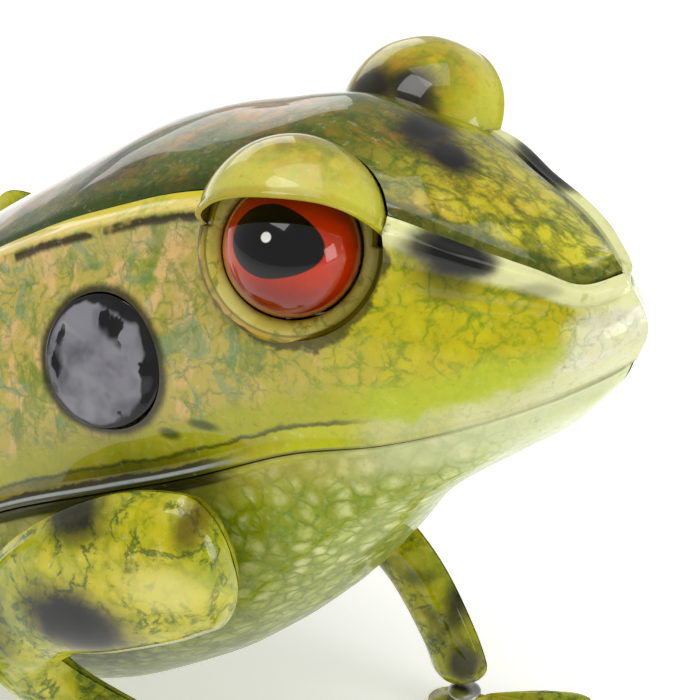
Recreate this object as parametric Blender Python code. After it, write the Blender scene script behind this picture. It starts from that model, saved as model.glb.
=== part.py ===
"""Wind-up jumping frog of painted sheet tin. X forward, Y to the frog's left, Z up, in metres."""

import math

import bmesh
import bpy
import numpy as np
from mathutils import Vector

MM = 0.001
GAP = 0.3
GROUND = -84.0
SHIFT_X = 24.3
TIN = 0.6

# Body rails, one row per station from snout to rump: crown, ridge, cheek, seam, flank, belly line.
STATIONS = [
    ((28.6, -2.4), (30.4, 0.0, -4.9), (32.9, 0.0, -9.6), (31.9, 0.0, -13.9), (31.2, 0.0, -16.0), (30.0, -18.0)),
    ((26.2, -2.4), (27.4, 5.0, -4.9), (30.2, 5.3, -10.0), (29.6, 4.0, -14.9), (28.6, 4.0, -18.5), (26.0, -22.8)),
    ((21.8, -0.4), (23.4, 7.9, -3.0), (25.4, 9.6, -10.0), (25.3, 9.0, -16.3), (23.5, 8.5, -21.5), (20.0, -28.0)),
    ((15.3, 2.6), (17.2, 10.6, -1.2), (18.8, 14.0, -9.5), (19.8, 13.5, -18.0), (17.5, 12.0, -26.0), (13.5, -33.5)),
    ((8.0, 5.6), (10.0, 13.4, 1.1), (10.5, 17.2, -10.0), (11.5, 17.2, -20.8), (10.0, 15.5, -31.0), (8.0, -42.0)),
    ((-2.0, 7.8), (0.0, 14.2, 1.6), (0.0, 19.2, -11.0), (2.0, 19.7, -23.0), (2.5, 18.0, -38.0), (1.5, -51.0)),
    ((-14.0, 4.8), (-13.0, 14.6, -1.2), (-11.0, 20.5, -14.0), (-8.5, 21.0, -28.2), (-6.0, 20.5, -46.0), (-7.0, -60.0)),
    ((-25.0, 0.2), (-24.0, 15.0, -5.7), (-21.0, 21.8, -20.0), (-19.0, 22.0, -33.0), (-16.0, 22.5, -52.0), (-17.0, -68.0)),
    ((-37.0, -7.8), (-34.0, 15.2, -10.6), (-31.0, 22.5, -25.0), (-30.0, 22.6, -38.0), (-28.0, 23.0, -58.0), (-30.0, -76.0)),
    ((-50.0, -17.0), (-47.0, 15.0, -19.0), (-44.0, 22.0, -32.0), (-43.0, 22.6, -45.0), (-42.0, 22.6, -62.0), (-45.0, -80.0)),
    ((-62.0, -29.5), (-60.0, 13.5, -30.5), (-58.0, 20.0, -41.0), (-57.5, 20.6, -51.0), (-57.0, 20.4, -65.0), (-60.0, -80.0)),
    ((-73.0, -44.0), (-72.0, 10.0, -44.5), (-71.5, 15.5, -51.0), (-71.5, 16.0, -58.0), (-71.5, 15.0, -68.0), (-73.0, -76.0)),
    ((-80.3, -57.0), (-80.8, 0.0, -59.0), (-81.3, 0.0, -61.5), (-81.5, 0.0, -64.0), (-81.3, 0.0, -67.0), (-80.3, -69.5)),
]
LAST = len(STATIONS) - 1

# Eyes, ears and legs, in millimetres from the middle between the eyes.
DOME = (0.0, 14.8, 0.0)
DOME_R = 9.6
BALL = (0.3, 15.3, -1.9)
BALL_R = 7.0
SOCKET_AXIS = (0.357, 0.815, 0.459)
LID_AXIS = (-0.204, -0.675, 0.709)
EAR = (-20.0, 21.0, -17.8)
EAR_AXIS = (0.02, 0.93, 0.36)
EAR_R = 7.2

# Clockwork, in the XZ plane: winding arbor, cam arbor and hip.
WINDING = (-34.0, -33.0)
CAM_AT = (-52.0, -54.5)
HIP = (-66.0, -63.0)
GREAT_TEETH, GREAT_MODULE = 36, 0.72
PINION_TEETH = 10
SECOND_TEETH, SECOND_MODULE = 28, 0.62
BACKLASH = 0.08
PLATE_Y = 8.4
PLATE_THICK = 0.8
RATCHET_TEETH = 12
SPRING_TURNS = 4
SPRING_STEPS = 64
PILLARS = [(-18.5, -20.5), (-41.5, -58.0)]
STAYS = [(-18.5, -45.0), (-57.8, -42.0)]


def clear_scene():
    for item in list(bpy.data.objects):
        bpy.data.objects.remove(item, do_unlink=True)


def world(point):
    return Vector(((point[0] + SHIFT_X) * MM, point[1] * MM, (point[2] - GROUND) * MM))


def paint(name, colour, rough, metal):
    material = bpy.data.materials.new(name)
    material.use_nodes = True
    shader = material.node_tree.nodes["Principled BSDF"]
    linear = [(value / 255.0) ** 2.2 for value in colour]
    shader.inputs["Base Color"].default_value = (*linear, 1.0)
    shader.inputs["Roughness"].default_value = rough
    shader.inputs["Metallic"].default_value = metal
    return material


def solid(name, points, faces, colour, rough=0.3, metal=0.0, pivot=(0.0, 0.0, GROUND), sharp=35.0):
    """One closed mesh from points in millimetres, with its origin at the pivot."""
    start = world(pivot)
    mesh = bpy.data.meshes.new(name)
    mesh.from_pydata([world(p) - start for p in points], [], [list(f) for f in faces])
    work = bmesh.new()
    work.from_mesh(mesh)
    bmesh.ops.remove_doubles(work, verts=work.verts, dist=1e-6)
    bmesh.ops.dissolve_degenerate(work, edges=work.edges, dist=1e-7)
    bmesh.ops.recalc_face_normals(work, faces=work.faces)
    if work.calc_volume(signed=True) < 0:
        bmesh.ops.reverse_faces(work, faces=work.faces)
    work.to_mesh(mesh)
    work.free()
    for polygon in mesh.polygons:
        polygon.use_smooth = True
    mesh.set_sharp_from_angle(angle=math.radians(sharp))
    mesh.materials.append(paint(name, colour, rough, metal))
    item = bpy.data.objects.new(name, mesh)
    item.location = start
    bpy.context.collection.objects.link(item)
    return item


def flip(shape, side):
    return [(p[0], p[1] * side, p[2]) for p in shape[0]], shape[1]


# ---------------------------------------------------------------- body form
def curve(points, where):
    """Smooth curve through the points."""
    last = len(points) - 1
    step = min(max(int(math.floor(where)), 0), last - 1)
    part = where - step
    at = lambda k: points[min(max(k, 0), last)]
    before = at(step - 1) if step > 0 else 2 * points[0] - points[1]
    after = at(step + 2) if step + 2 <= last else 2 * points[last] - points[last - 1]
    a, b, c, d = before, at(step), at(step + 1), after
    return 0.5 * (2 * b + (c - a) * part + (2 * a - 5 * b + 4 * c - d) * part**2 + (3 * b - a - 3 * c + d) * part**3)


def make_rails():
    rails = []
    for k in range(6):
        row = [station[k] for station in STATIONS]
        rails.append(np.array([(p[0], 0.0, p[1]) if len(p) == 2 else p for p in row], float))
    return rails


RAILS = make_rails()


def body(along, around):
    """Left half of the skin: around is -1 on the crown midline, 0 on the ridge, 2 on the seam, 4 below."""
    crown, ridge, cheek, seam, flank, belly = [curve(rail, along) for rail in RAILS]
    if around < 0:
        across = 1.0 + around
        return np.array([
            crown[0] + (ridge[0] - crown[0]) * across**2,
            ridge[1] * across,
            crown[2] + (ridge[2] - crown[2]) * across**2,
        ])
    mirrored = flank * np.array([1.0, -1.0, 1.0])
    return curve(np.array([ridge, cheek, seam, flank, belly, mirrored]), around) if around < 4 else belly


def skin(along, around):
    """The skin both sides of the midline: below -1 and above 4 is the right half."""
    if around < -1:
        return body(along, -2.0 - around) * np.array([1.0, -1.0, 1.0])
    if around > 4:
        return body(along, 8.0 - around) * np.array([1.0, -1.0, 1.0])
    return body(along, around)


def inward(along, around):
    step = 0.04
    low, high = max(along - step, 0.0), min(along + step, LAST)
    u = skin(high, around) - skin(low, around)
    w = skin(along, around + step) - skin(along, around - step)
    n = np.cross(u, w)
    n = n / max(np.linalg.norm(n), 1e-9)
    middle = 0.5 * (skin(along, -1.0) + skin(along, 4.0))
    return n if np.dot(n, middle - skin(along, around)) > 0 else -n


def panel(alongs, arounds, keep_left=False):
    """A sheet of the skin with the tin's thickness, as one closed shape."""
    rows, columns = len(alongs), len(arounds)
    outer, inner = [], []
    for along in alongs:
        for around in arounds:
            p = skin(along, around)
            inset = min(max(along, 0.35), LAST - 0.3)
            q = skin(inset, around) + inward(inset, around) * TIN
            if keep_left:
                p = np.array([p[0], max(p[1], 0.17), p[2]])
                q = np.array([q[0], max(q[1], 0.17), q[2]])
            outer.append(tuple(p))
            inner.append(tuple(q))
    base = rows * columns
    faces = []
    for i in range(rows - 1):
        for j in range(columns - 1):
            a = i * columns + j
            quad = [a, a + 1, a + columns + 1, a + columns]
            faces.append(quad)
            faces.append([base + k for k in reversed(quad)])
    loop = list(range(columns))
    loop += [i * columns + columns - 1 for i in range(1, rows)]
    loop += [(rows - 1) * columns + j for j in range(columns - 2, -1, -1)]
    loop += [i * columns for i in range(rows - 2, 0, -1)]
    for a, b in zip(loop, loop[1:] + loop[:1]):
        faces.append([b, a, base + a, base + b])
    return outer + inner, faces


def half_width(x, z):
    """Outer half width of the body at a place on its side."""
    best = (1e9, 0.0)
    for along in np.linspace(3, LAST, 91):
        for around in np.linspace(0, 4, 41):
            p = body(along, around)
            best = min(best, (abs(p[0] - x) + abs(p[2] - z), p[1]))
    return best[1]


# ---------------------------------------------------------------- simple shapes
def axes_of(direction):
    n = np.array(direction, float)
    n = n / np.linalg.norm(n)
    a = np.cross(n, [0.0, 0.0, 1.0])
    if np.linalg.norm(a) < 1e-6:
        a = np.array([1.0, 0.0, 0.0])
    a = a / np.linalg.norm(a)
    return n, a, np.cross(n, a)


def turned(centre, direction, profile, sides=24):
    """A profile of (radius, height) pairs turned about an axis. Radius 0 only at its two ends."""
    n, a, b = axes_of(direction)
    centre = np.array(centre, float)
    points, faces, rings = [], [], []
    for radius, height in profile:
        if radius == 0:
            rings.append([len(points)])
            points.append(tuple(centre + n * height))
            continue
        rings.append(list(range(len(points), len(points) + sides)))
        for k in range(sides):
            angle = 2 * math.pi * k / sides
            points.append(tuple(centre + n * height + radius * (math.cos(angle) * a + math.sin(angle) * b)))
    closed = profile[0][0] > 0
    pairs = list(zip(rings, rings[1:] + rings[:1])) if closed else list(zip(rings, rings[1:]))
    for low, high in pairs:
        for k in range(sides):
            m = (k + 1) % sides
            if len(low) == 1:
                faces.append([low[0], high[k], high[m]])
            elif len(high) == 1:
                faces.append([low[k], high[0], low[m]])
            else:
                faces.append([low[k], high[k], high[m], low[m]])
    return points, faces


def rod(start, end, radius, sides=16):
    length = float(np.linalg.norm(np.array(end, float) - np.array(start, float)))
    direction = np.array(end, float) - np.array(start, float)
    return turned(start, direction, [(0, 0), (radius, 0), (radius, length), (0, length)], sides)


def ring(at, y0, y1, hole, outer, sides=24):
    profile = [(hole, 0), (outer, 0), (outer, y1 - y0), (hole, y1 - y0)]
    return turned((at[0], y0, at[1]), (0, 1, 0), profile, sides)


def sheet(outline, y0, y1, holes=()):
    """A flat stamping in the XZ plane between two Y values."""
    work = bmesh.new()
    loops, start = [], 0
    for loop in [outline, *holes]:
        verts = [work.verts.new((x, 0.0, z)) for x, z in loop]
        loops.append(range(start, start + len(verts)))
        start += len(verts)
        for a, b in zip(verts, verts[1:] + verts[:1]):
            work.edges.new((a, b))
    bmesh.ops.triangle_fill(work, use_beauty=True, use_dissolve=False, edges=work.edges, normal=(0, 1, 0))
    work.verts.index_update()
    flat = [(v.co.x, v.co.z) for v in work.verts]
    caps = [[v.index for v in face.verts] for face in work.faces]
    work.free()
    count = len(flat)
    points = [(x, y0, z) for x, z in flat] + [(x, y1, z) for x, z in flat]
    faces = caps + [[count + k for k in reversed(cap)] for cap in caps]
    for loop in loops:
        order = list(loop)
        for a, b in zip(order, order[1:] + order[:1]):
            faces.append([a, b, count + b, count + a])
    return points, faces


def circle(at, radius, sides=20):
    return [
        (at[0] + radius * math.cos(2 * math.pi * k / sides), at[1] + radius * math.sin(2 * math.pi * k / sides))
        for k in range(sides)
    ]


def swept(path, section, caps=True):
    """A closed section of (across, up) pairs carried along a path; section may be a function of its place."""
    path = [np.array(p, float) for p in path]
    points, faces = [], []
    side = None
    count = 0
    for i, p in enumerate(path):
        along = path[min(i + 1, len(path) - 1)] - path[max(i - 1, 0)]
        along = along / np.linalg.norm(along)
        if side is None:
            side = axes_of(along)[1]
        side = side - along * np.dot(side, along)
        side = side / np.linalg.norm(side)
        up = np.cross(side, along)
        shape = section(i / (len(path) - 1)) if callable(section) else section
        count = len(shape)
        points += [tuple(p + side * s + up * u) for s, u in shape]
    for i in range(len(path) - 1):
        for k in range(count):
            m = (k + 1) % count
            faces.append([i * count + k, i * count + m, (i + 1) * count + m, (i + 1) * count + k])
    if caps:
        faces.append(list(range(count - 1, -1, -1)))
        faces.append([(len(path) - 1) * count + k for k in range(count)])
    return points, faces


def round_wire(radius, sides=6):
    return [
        (radius * math.cos(2 * math.pi * k / sides), radius * math.sin(2 * math.pi * k / sides)) for k in range(sides)
    ]


def half_limb(path, widths, depths, outward, wall=0.5, rings=11, sides=6):
    """One pressed half of a limb lying along Y: a closed trough, open towards the other half."""
    path = [np.array(p, float) for p in path]
    widths = np.array(widths, float)
    depths = np.array(depths, float)
    where = [(len(path) - 1) * (0.5 - 0.5 * math.cos(math.pi * k / (rings - 1))) for k in range(rings)]
    outer, inner = [], []
    for w in where:
        p = curve(np.array(path), w)
        ahead, behind = curve(np.array(path), min(w + 0.02, len(path) - 1)), curve(np.array(path), max(w - 0.02, 0))
        along = ahead - behind
        along = along / np.linalg.norm(along)
        y = np.array([0.0, outward, 0.0])
        y = y - along * np.dot(y, along)
        y = y / np.linalg.norm(y)
        across = np.cross(y, along)
        ends = min(w, len(path) - 1 - w)
        shut = math.sqrt(max(1 - (1 - min(ends / 0.45, 1)) ** 2, 0.0))
        wide = float(curve(widths, w)) * (0.25 + 0.75 * shut)
        deep = float(curve(depths, w)) * (0.35 + 0.65 * shut)
        for k in range(sides + 1):
            angle = math.pi * k / sides
            c, s = math.cos(angle), math.sin(angle)
            outer.append(tuple(p + across * wide * c + y * (0.16 + (deep - 0.16) * s)))
            inner.append(tuple(p + across * (wide - wall) * c + y * (0.16 + max(deep - wall - 0.16, 0.05) * s)))
    columns = sides + 1
    base = len(outer)
    faces = []
    for i in range(rings - 1):
        for j in range(sides):
            a = i * columns + j
            quad = [a, a + 1, a + columns + 1, a + columns]
            faces.append(quad)
            faces.append([base + k for k in reversed(quad)])
        for j in (0, sides):
            a = i * columns + j
            faces.append([a, a + columns, base + a + columns, base + a])
    for i in (0, rings - 1):
        faces.append([i * columns + j for j in range(columns)] + [i * columns + columns - 1, i * columns][:0])
        faces.append([base + i * columns + j for j in range(columns)])
    # The two end walls close the trough across its mouth.
    points = outer + inner
    ends = []
    for i in (0, rings - 1):
        o = [i * columns + j for j in range(columns)]
        q = [base + i * columns + j for j in range(columns)]
        for a, b, c, d in zip(o, o[1:], q[1:], q):
            ends.append([a, b, c, d])
    faces = [f for f in faces if len(f) == 4] + ends
    return points, faces


# ---------------------------------------------------------------- clockwork shapes
def gear(centre, teeth, module, phase, hole, y0, y1):
    radius = teeth * module / 2
    loop = []
    for k in range(teeth):
        middle = phase + 2 * math.pi * k / teeth
        pitch = 2 * math.pi / teeth
        tip, root = radius + 0.78 * module, radius - 1.12 * module
        for part, r in ((-0.27, root), (-0.105, tip), (0.105, tip), (0.27, root)):
            angle = middle + part * pitch
            loop.append((centre[0] + r * math.cos(angle), centre[1] + r * math.sin(angle)))
    holes = [circle(centre, hole, 16)] if hole else []
    return sheet(loop, y0, y1, holes)


def meet(a, b, ra, rb, turn):
    """Place of a wheel at distance ra from a and rb from b."""
    ax, az = a
    dx, dz = b[0] - ax, b[1] - az
    d = math.hypot(dx, dz)
    s = (ra * ra - rb * rb + d * d) / (2 * d)
    h = turn * math.sqrt(ra * ra - s * s)
    return ax + dx / d * s - dz / d * h, az + dz / d * s + dx / d * h


def bearing(a, b):
    return math.atan2(b[1] - a[1], b[0] - a[0])


REACH_1 = (GREAT_TEETH + PINION_TEETH) * GREAT_MODULE / 2 + BACKLASH
REACH_2 = (SECOND_TEETH + PINION_TEETH) * SECOND_MODULE / 2 + BACKLASH
SECOND = meet(WINDING, CAM_AT, REACH_1, REACH_2, -1)
PHASE_GREAT = bearing(WINDING, SECOND)
PHASE_PINION = PHASE_GREAT + math.pi + math.pi / PINION_TEETH
PHASE_SECOND = bearing(SECOND, CAM_AT)
PHASE_CAM = PHASE_SECOND + math.pi + math.pi / PINION_TEETH

STEEL = (168, 166, 160)
BRASS = (196, 160, 84)
TINNED = (176, 176, 170)


def build_body():
    cut = []
    for side in (1, -1):
        name = "left" if side > 0 else "right"
        dome = tuple(c * (side if i == 1 else 1) for i, c in enumerate(DOME))
        ball = tuple(c * (side if i == 1 else 1) for i, c in enumerate(BALL))
        view = tuple(c * (side if i == 1 else 1) for i, c in enumerate(SOCKET_AXIS))
        ear = tuple(c * (side if i == 1 else 1) for i, c in enumerate(EAR))
        ear_axis = tuple(c * (side if i == 1 else 1) for i, c in enumerate(EAR_AXIS))
        globe = [(0, -9.95)] + [(9.95 * math.cos(t), 9.95 * math.sin(t)) for t in np.linspace(-1.3, 1.3, 9)] + [(0, 9.95)]
        tools = [
            ("cut_dome_" + name, turned(dome, view, globe, 24)),
            ("cut_socket_" + name, turned(ball, view, [(0, -3), (9.4, -3), (9.4, 5), (0, 5)], 24)),
            ("cut_ear_" + name, turned(ear, ear_axis, [(0, -4), (EAR_R + GAP, -4), (EAR_R + GAP, 5), (0, 5)], 24)),
            ("cut_hip_" + name, rod((HIP[0], side * 12, HIP[1]), (HIP[0], side * 26, HIP[1]), 3.2, 20)),
        ]
        for label, shape in tools:
            item = solid(label, *shape, (90, 90, 90))
            item.hide_render = True
            item.display_type = "WIRE"
            cut.append(item)
    key_tool = solid("cut_key", *rod((WINDING[0], 12, WINDING[1]), (WINDING[0], 30, WINDING[1]), 3.6, 20), (90, 90, 90))
    key_tool.hide_render = True
    key_tool.display_type = "WIRE"

    def trim(item, words):
        for tool in cut + [key_tool]:
            if any(tool.name.startswith("cut_" + word) for word in words):
                modifier = item.modifiers.new(tool.name, "BOOLEAN")
                modifier.operation = "DIFFERENCE"
                modifier.solver = "EXACT"
                modifier.object = tool

    alongs = [0.5, 1, 1.6, 2.2, 3, 4, 5, 6, 7, 8, 9, 10, 10.6, 11.2, 11.6]
    back = panel([0.12] + alongs + [11.9], list(np.linspace(-1.85, -0.15, 9)))
    item = solid("back_plate", *back, (112, 110, 46), 0.22, 0.1)
    trim(item, ["dome", "socket"])
    side_around = [-0.125, 0.0, 0.4, 0.8, 1.2, 1.6, 1.985]
    for side in (1, -1):
        name = "left" if side > 0 else "right"
        half = flip(panel([0, 0.2] + alongs + [11.85, 12], side_around, keep_left=True), side)
        item = solid("side_shell_" + name, *half, (172, 172, 78), 0.22, 0.1)
        trim(item, ["dome_" + name, "socket_" + name, "ear_" + name] + (["key"] if side > 0 else []))
    lower = panel([0.12] + alongs + [11.85, 11.96], list(np.linspace(2.01, 5.99, 15)))
    item = solid("belly_shell", *lower, (166, 174, 108), 0.25, 0.1)
    trim(item, ["hip"])


def build_face():
    for side in (1, -1):
        name = "left" if side > 0 else "right"
        dome = np.array([DOME[0], DOME[1], DOME[2]])
        lid = [(0, DOME_R)] + [(DOME_R * math.sin(t), DOME_R * math.cos(t)) for t in np.linspace(0.3, 1.57, 5)]
        inside = DOME_R - TIN
        lid += [(inside * math.sin(t), inside * math.cos(t)) for t in np.linspace(1.57, 0.3, 5)] + [(0, inside)]
        solid("eyelid_" + name, *flip(turned(dome, LID_AXIS, lid, 20), side), (213, 203, 106), 0.2, 0.1)
        globe = [(0, -BALL_R)] + [(BALL_R * math.cos(t), BALL_R * math.sin(t)) for t in np.linspace(-1.2, 1.2, 7)]
        globe += [(0, BALL_R)]
        solid("eyeball_" + name, *flip(turned(BALL, SOCKET_AXIS, globe, 20), side), (156, 66, 33), 0.06, 0.0)
        solid("eye_socket_" + name, *flip(socket_shape(), side), (172, 160, 92), 0.3, 0.1)
        disc = [(0, 0.9), (3.5, 0.75), (5.8, 0.35), (EAR_R, -0.3), (EAR_R, -1.1), (5.8, -0.45), (3.5, 0.05), (0, 0.2)]
        solid("ear_disc_" + name, *flip(turned(EAR, EAR_AXIS, disc, 24), side), (112, 112, 114), 0.2, 0.3)


def socket_shape():
    """A pale bowl rim round the eyeball, drawn in where the lid passes over it."""
    n, a, b = axes_of(SOCKET_AXIS)
    ball, dome = np.array(BALL), np.array(DOME)
    lid = np.array(LID_AXIS) / np.linalg.norm(LID_AXIS)
    sides = 36
    points, faces = [], []
    for k in range(sides):
        angle = 2 * math.pi * k / sides
        e = math.cos(angle) * a + math.sin(angle) * b
        reach = 9.0
        while reach > 7.6:
            p = ball + e * reach
            if np.dot(p - dome, lid) < -0.5 or np.linalg.norm(p - dome) < DOME_R - TIN - 0.35:
                break
            reach -= 0.05
        for radius, height in ((7.3, 0.3), (reach, -0.5), (reach, -1.3), (7.3, -0.3)):
            points.append(tuple(ball + e * radius + n * height))
    for k in range(sides):
        for j in range(4):
            m = (j + 1) % 4
            q = (k + 1) % sides
            faces.append([k * 4 + j, k * 4 + m, q * 4 + m, q * 4 + j])
    return points, faces


UPPER_ARM = [(-1.5, 25.5, -34.5), (-9.5, 26.5, -36.6), (-18.0, 27.2, -41.0), (-25.5, 27.6, -46.5)]
FOREARM = {
    1: [(-28.0, 27.0, -53.0), (-22.0, 25.5, -59.0), (-12.0, 23.8, -61.5), (-4.0, 21.8, -66.0), (2.2, 20.3, -74.0)],
    -1: [(-29.5, 27.0, -54.0), (-25.0, 26.0, -61.0), (-15.0, 24.4, -65.0), (-4.5, 22.4, -68.4), (3.0, 20.2, -74.6)],
}
FORELEG_WIDTHS = [7.0, 8.6, 8.2, 6.6, 5.4, 4.6, 4.3, 4.1, 3.8, 3.6]
FORELEG_DEPTHS = [3.8, 4.6, 4.4, 3.8, 3.2, 2.8, 2.6, 2.4, 2.2, 2.0]
WRIST = (5.0, 19.6)


def foreleg_path(side):
    """The foreleg's centre line, moved out where its inner half would meet the body."""
    path = []
    line = UPPER_ARM + FOREARM[side] + [(*WRIST, -80.3)]
    for (x, y, z), depth in zip(line, FORELEG_DEPTHS):
        if z > -66:
            y = max(y, half_width(x, z) + depth + GAP + 0.35)
        path.append((x, y, z))
    return path


def build_forelegs():
    for side in (1, -1):
        path = foreleg_path(side)
        name = "left" if side > 0 else "right"
        for half, outward in (("outer", 1), ("inner", -1)):
            shape = half_limb(path, FORELEG_WIDTHS, FORELEG_DEPTHS, outward, 0.5, 17)
            colour = (120, 124, 52) if outward > 0 else (96, 100, 48)
            solid("foreleg_" + half + "_" + name, *flip(shape, side), colour, 0.22, 0.1)
        solid("forefoot_" + name, *flip(foot_shape(WRIST, 18.0, 8.5, -14.0, 3), side), (148, 150, 70), 0.25, 0.1)
        rivet = rod((*WRIST, GROUND + 1.8), (*WRIST, GROUND + 3.0), 2.2, 12)
        solid("forefoot_rivet_" + name, *flip(rivet, side), TINNED, 0.35, 0.9)


def foot_shape(heel, length, width, swing, toes):
    """A flat webbed foot with rounded toes, lying on the ground and pointing forward."""
    loop = [(-4.5, -2.6), (-4.5, 2.6)]
    count = toes * 6
    upper = []
    for k in range(count + 1):
        part = k / count
        spread = (part - 0.5) * 2
        wave = 0.5 - 0.5 * math.cos(2 * math.pi * part * toes)
        reach = length * (0.80 + 0.20 * wave) * (1 - 0.18 * abs(spread) ** 2)
        angle = -spread * math.atan2(width, length)
        upper.append((reach * math.cos(angle), reach * math.sin(angle) * 1.05))
    loop += upper
    turn = math.radians(swing)
    flat = []
    for x, y in loop:
        flat.append((heel[0] + x * math.cos(turn) + y * math.sin(turn), heel[1] - x * math.sin(turn) + y * math.cos(turn)))
    count = len(flat)
    points = [(x, y, GROUND) for x, y in flat] + [(x, y, GROUND + 0.8) for x, y in flat]
    points.append((heel[0] + 0.4 * length * math.cos(turn), heel[1] - 0.4 * length * math.sin(turn), GROUND + 2.2))
    faces = [list(range(count))]
    for k in range(count):
        m = (k + 1) % count
        faces.append([k, m, count + m, count + k])
        faces.append([count + k, count + m, 2 * count])
    return points, faces


def build_motor():
    outline = [(-15, -17), (-15, -47), (-40, -62), (-61, -62), (-61, -40), (-42, -17.5)]
    for side, name in ((1, "left"), (-1, "right")):
        low, high = sorted((side * PLATE_Y, side * (PLATE_Y + PLATE_THICK)))
        holes = [circle(WINDING, 2.5 if side > 0 else 1.8), circle(SECOND, 1.3, 12), circle(CAM_AT, 1.3, 12)]
        holes += [circle(place, 1.3 + GAP, 12) for place in STAYS]
        solid("motor_plate_" + name, *sheet(outline, low, high, holes), TINNED, 0.35, 0.9)
    reach = PLATE_Y - GAP
    for (x, z), name in zip(PILLARS, ("upper", "lower")):
        solid("motor_pillar_" + name, *rod((x, -reach, z), (x, reach, z), 1.3, 12), STEEL, 0.3, 0.95)
    for (x, z), name in zip(STAYS, ("front", "rear")):
        rim = [(x - 2, z), (x + 2, z), (x, z - 2), (x, z + 2)]
        wall = min(half_width(*place) for place in rim) - TIN - GAP - 0.35
        profile = [(0, -wall), (2.0, -wall), (2.0, 0.8 - wall), (1.3, 0.8 - wall)]
        profile += [(radius, -height) for radius, height in reversed(profile)]
        solid("motor_stay_" + name, *turned((x, 0, z), (0, 1, 0), profile, 12), STEEL, 0.35, 0.9)
    solid("leg_stop", *rod((-57.4, -PLATE_Y + GAP, -60.3), (-57.4, PLATE_Y - GAP, -60.3), 0.8, 12), STEEL, 0.3, 0.95)
    bush_y = half_width(*WINDING)
    bush = [(2.4, -2.4), (3.3, -2.4), (3.3, 0.5), (4.8, 0.5), (4.8, 1.3), (2.4, 1.3)]
    solid("key_bush", *turned((WINDING[0], bush_y + 0.3, WINDING[1]), (0, 1, 0), bush, 24), BRASS, 0.3, 0.9)
    hip_y = half_width(*HIP)
    for side, name in ((1, "left"), (-1, "right")):
        profile = [(2.1, -3.6), (2.9, -3.6), (2.9, 0.9), (4.4, 0.9), (4.4, 1.7), (2.1, 1.7)]
        shape = turned((HIP[0], side * (hip_y + 0.6), HIP[1]), (0, side, 0), profile, 20)
        solid("hip_bush_" + name, *shape, BRASS, 0.3, 0.9)


def build_winding():
    pivot = (WINDING[0], 0.0, WINDING[1])
    arbor = [(0, -10.2), (1.5, -10.2), (1.5, -7.9), (2.2, -7.9), (2.2, 23.5), (1.9, 24.6), (0, 24.6)]
    solid("winding_arbor", *turned(pivot, (0, 1, 0), arbor, 20), STEEL, 0.25, 0.95, pivot)
    loop = []
    for k in range(RATCHET_TEETH):
        start = 2 * math.pi * k / RATCHET_TEETH
        for part, r in ((0.0, 5.6), (0.08, 4.3)):
            angle = start + part * 2 * math.pi / RATCHET_TEETH
            loop.append((WINDING[0] + r * math.cos(angle), WINDING[1] + r * math.sin(angle)))
    ratchet = sheet(loop, 2.5, 3.6, [circle(WINDING, 2.35, 16)])
    solid("ratchet_wheel", *ratchet, STEEL, 0.3, 0.95, pivot)
    stem = [(0, 25.0), (3.0, 25.0), (3.0, 30.3), (0, 30.3)]
    solid("key_stem", *turned(pivot, (0, 1, 0), stem, 16), TINNED, 0.3, 0.9, pivot)
    loop = []
    for k in range(28):
        angle = 2 * math.pi * k / 28
        loop.append((8.4 * math.cos(angle) * (0.72 + 0.28 * abs(math.cos(angle))), 6.4 * math.sin(angle)))
    bow = sheet(loop, -0.7, 0.7, [circle((4.7, 0), 1.9, 12), circle((-4.7, 0), 1.9, 12)])
    placed = [(WINDING[0] + x, 37.0 + z, WINDING[1] + y) for x, y, z in bow[0]]
    solid("key_bow", placed, bow[1], TINNED, 0.3, 0.9, pivot)


def build_great():
    pivot = (WINDING[0], 0.0, WINDING[1])
    wheel = gear(WINDING, GREAT_TEETH, GREAT_MODULE, PHASE_GREAT, 2.5, 0.6, 2.0)
    solid("great_wheel", *wheel, BRASS, 0.3, 0.9, pivot)
    post = click_place()
    solid("click_post", *rod((post[0], 2.3, post[1]), (post[0], 4.4, post[1]), 0.7, 12), STEEL, 0.3, 0.95, pivot)
    click_pivot = (post[0], 0.0, post[1])
    tip = (WINDING[0] + 4.86 * math.cos(0.075), WINDING[1] + 4.86 * math.sin(0.075))
    away = np.array([tip[0] - post[0], tip[1] - post[1]])
    away = away / np.linalg.norm(away)
    left = np.array([-away[1], away[0]])
    base, end = np.array(post), np.array(tip)
    loop = [tuple(base + 1.7 * (-away * math.cos(t) + left * math.sin(t))) for t in np.linspace(-1.5, 1.5, 7)]
    loop += [tuple(end - away * 0.5 + left * 1.0), tuple(end), tuple(end - away * 0.9 - left * 0.1)]
    click = sheet(loop, 2.5, 3.6, [circle(post, 1.0, 12)])
    solid("click", *click, STEEL, 0.3, 0.95, click_pivot)
    return post


def click_place():
    return WINDING[0] + 6.7, WINDING[1] + 6.7


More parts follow.
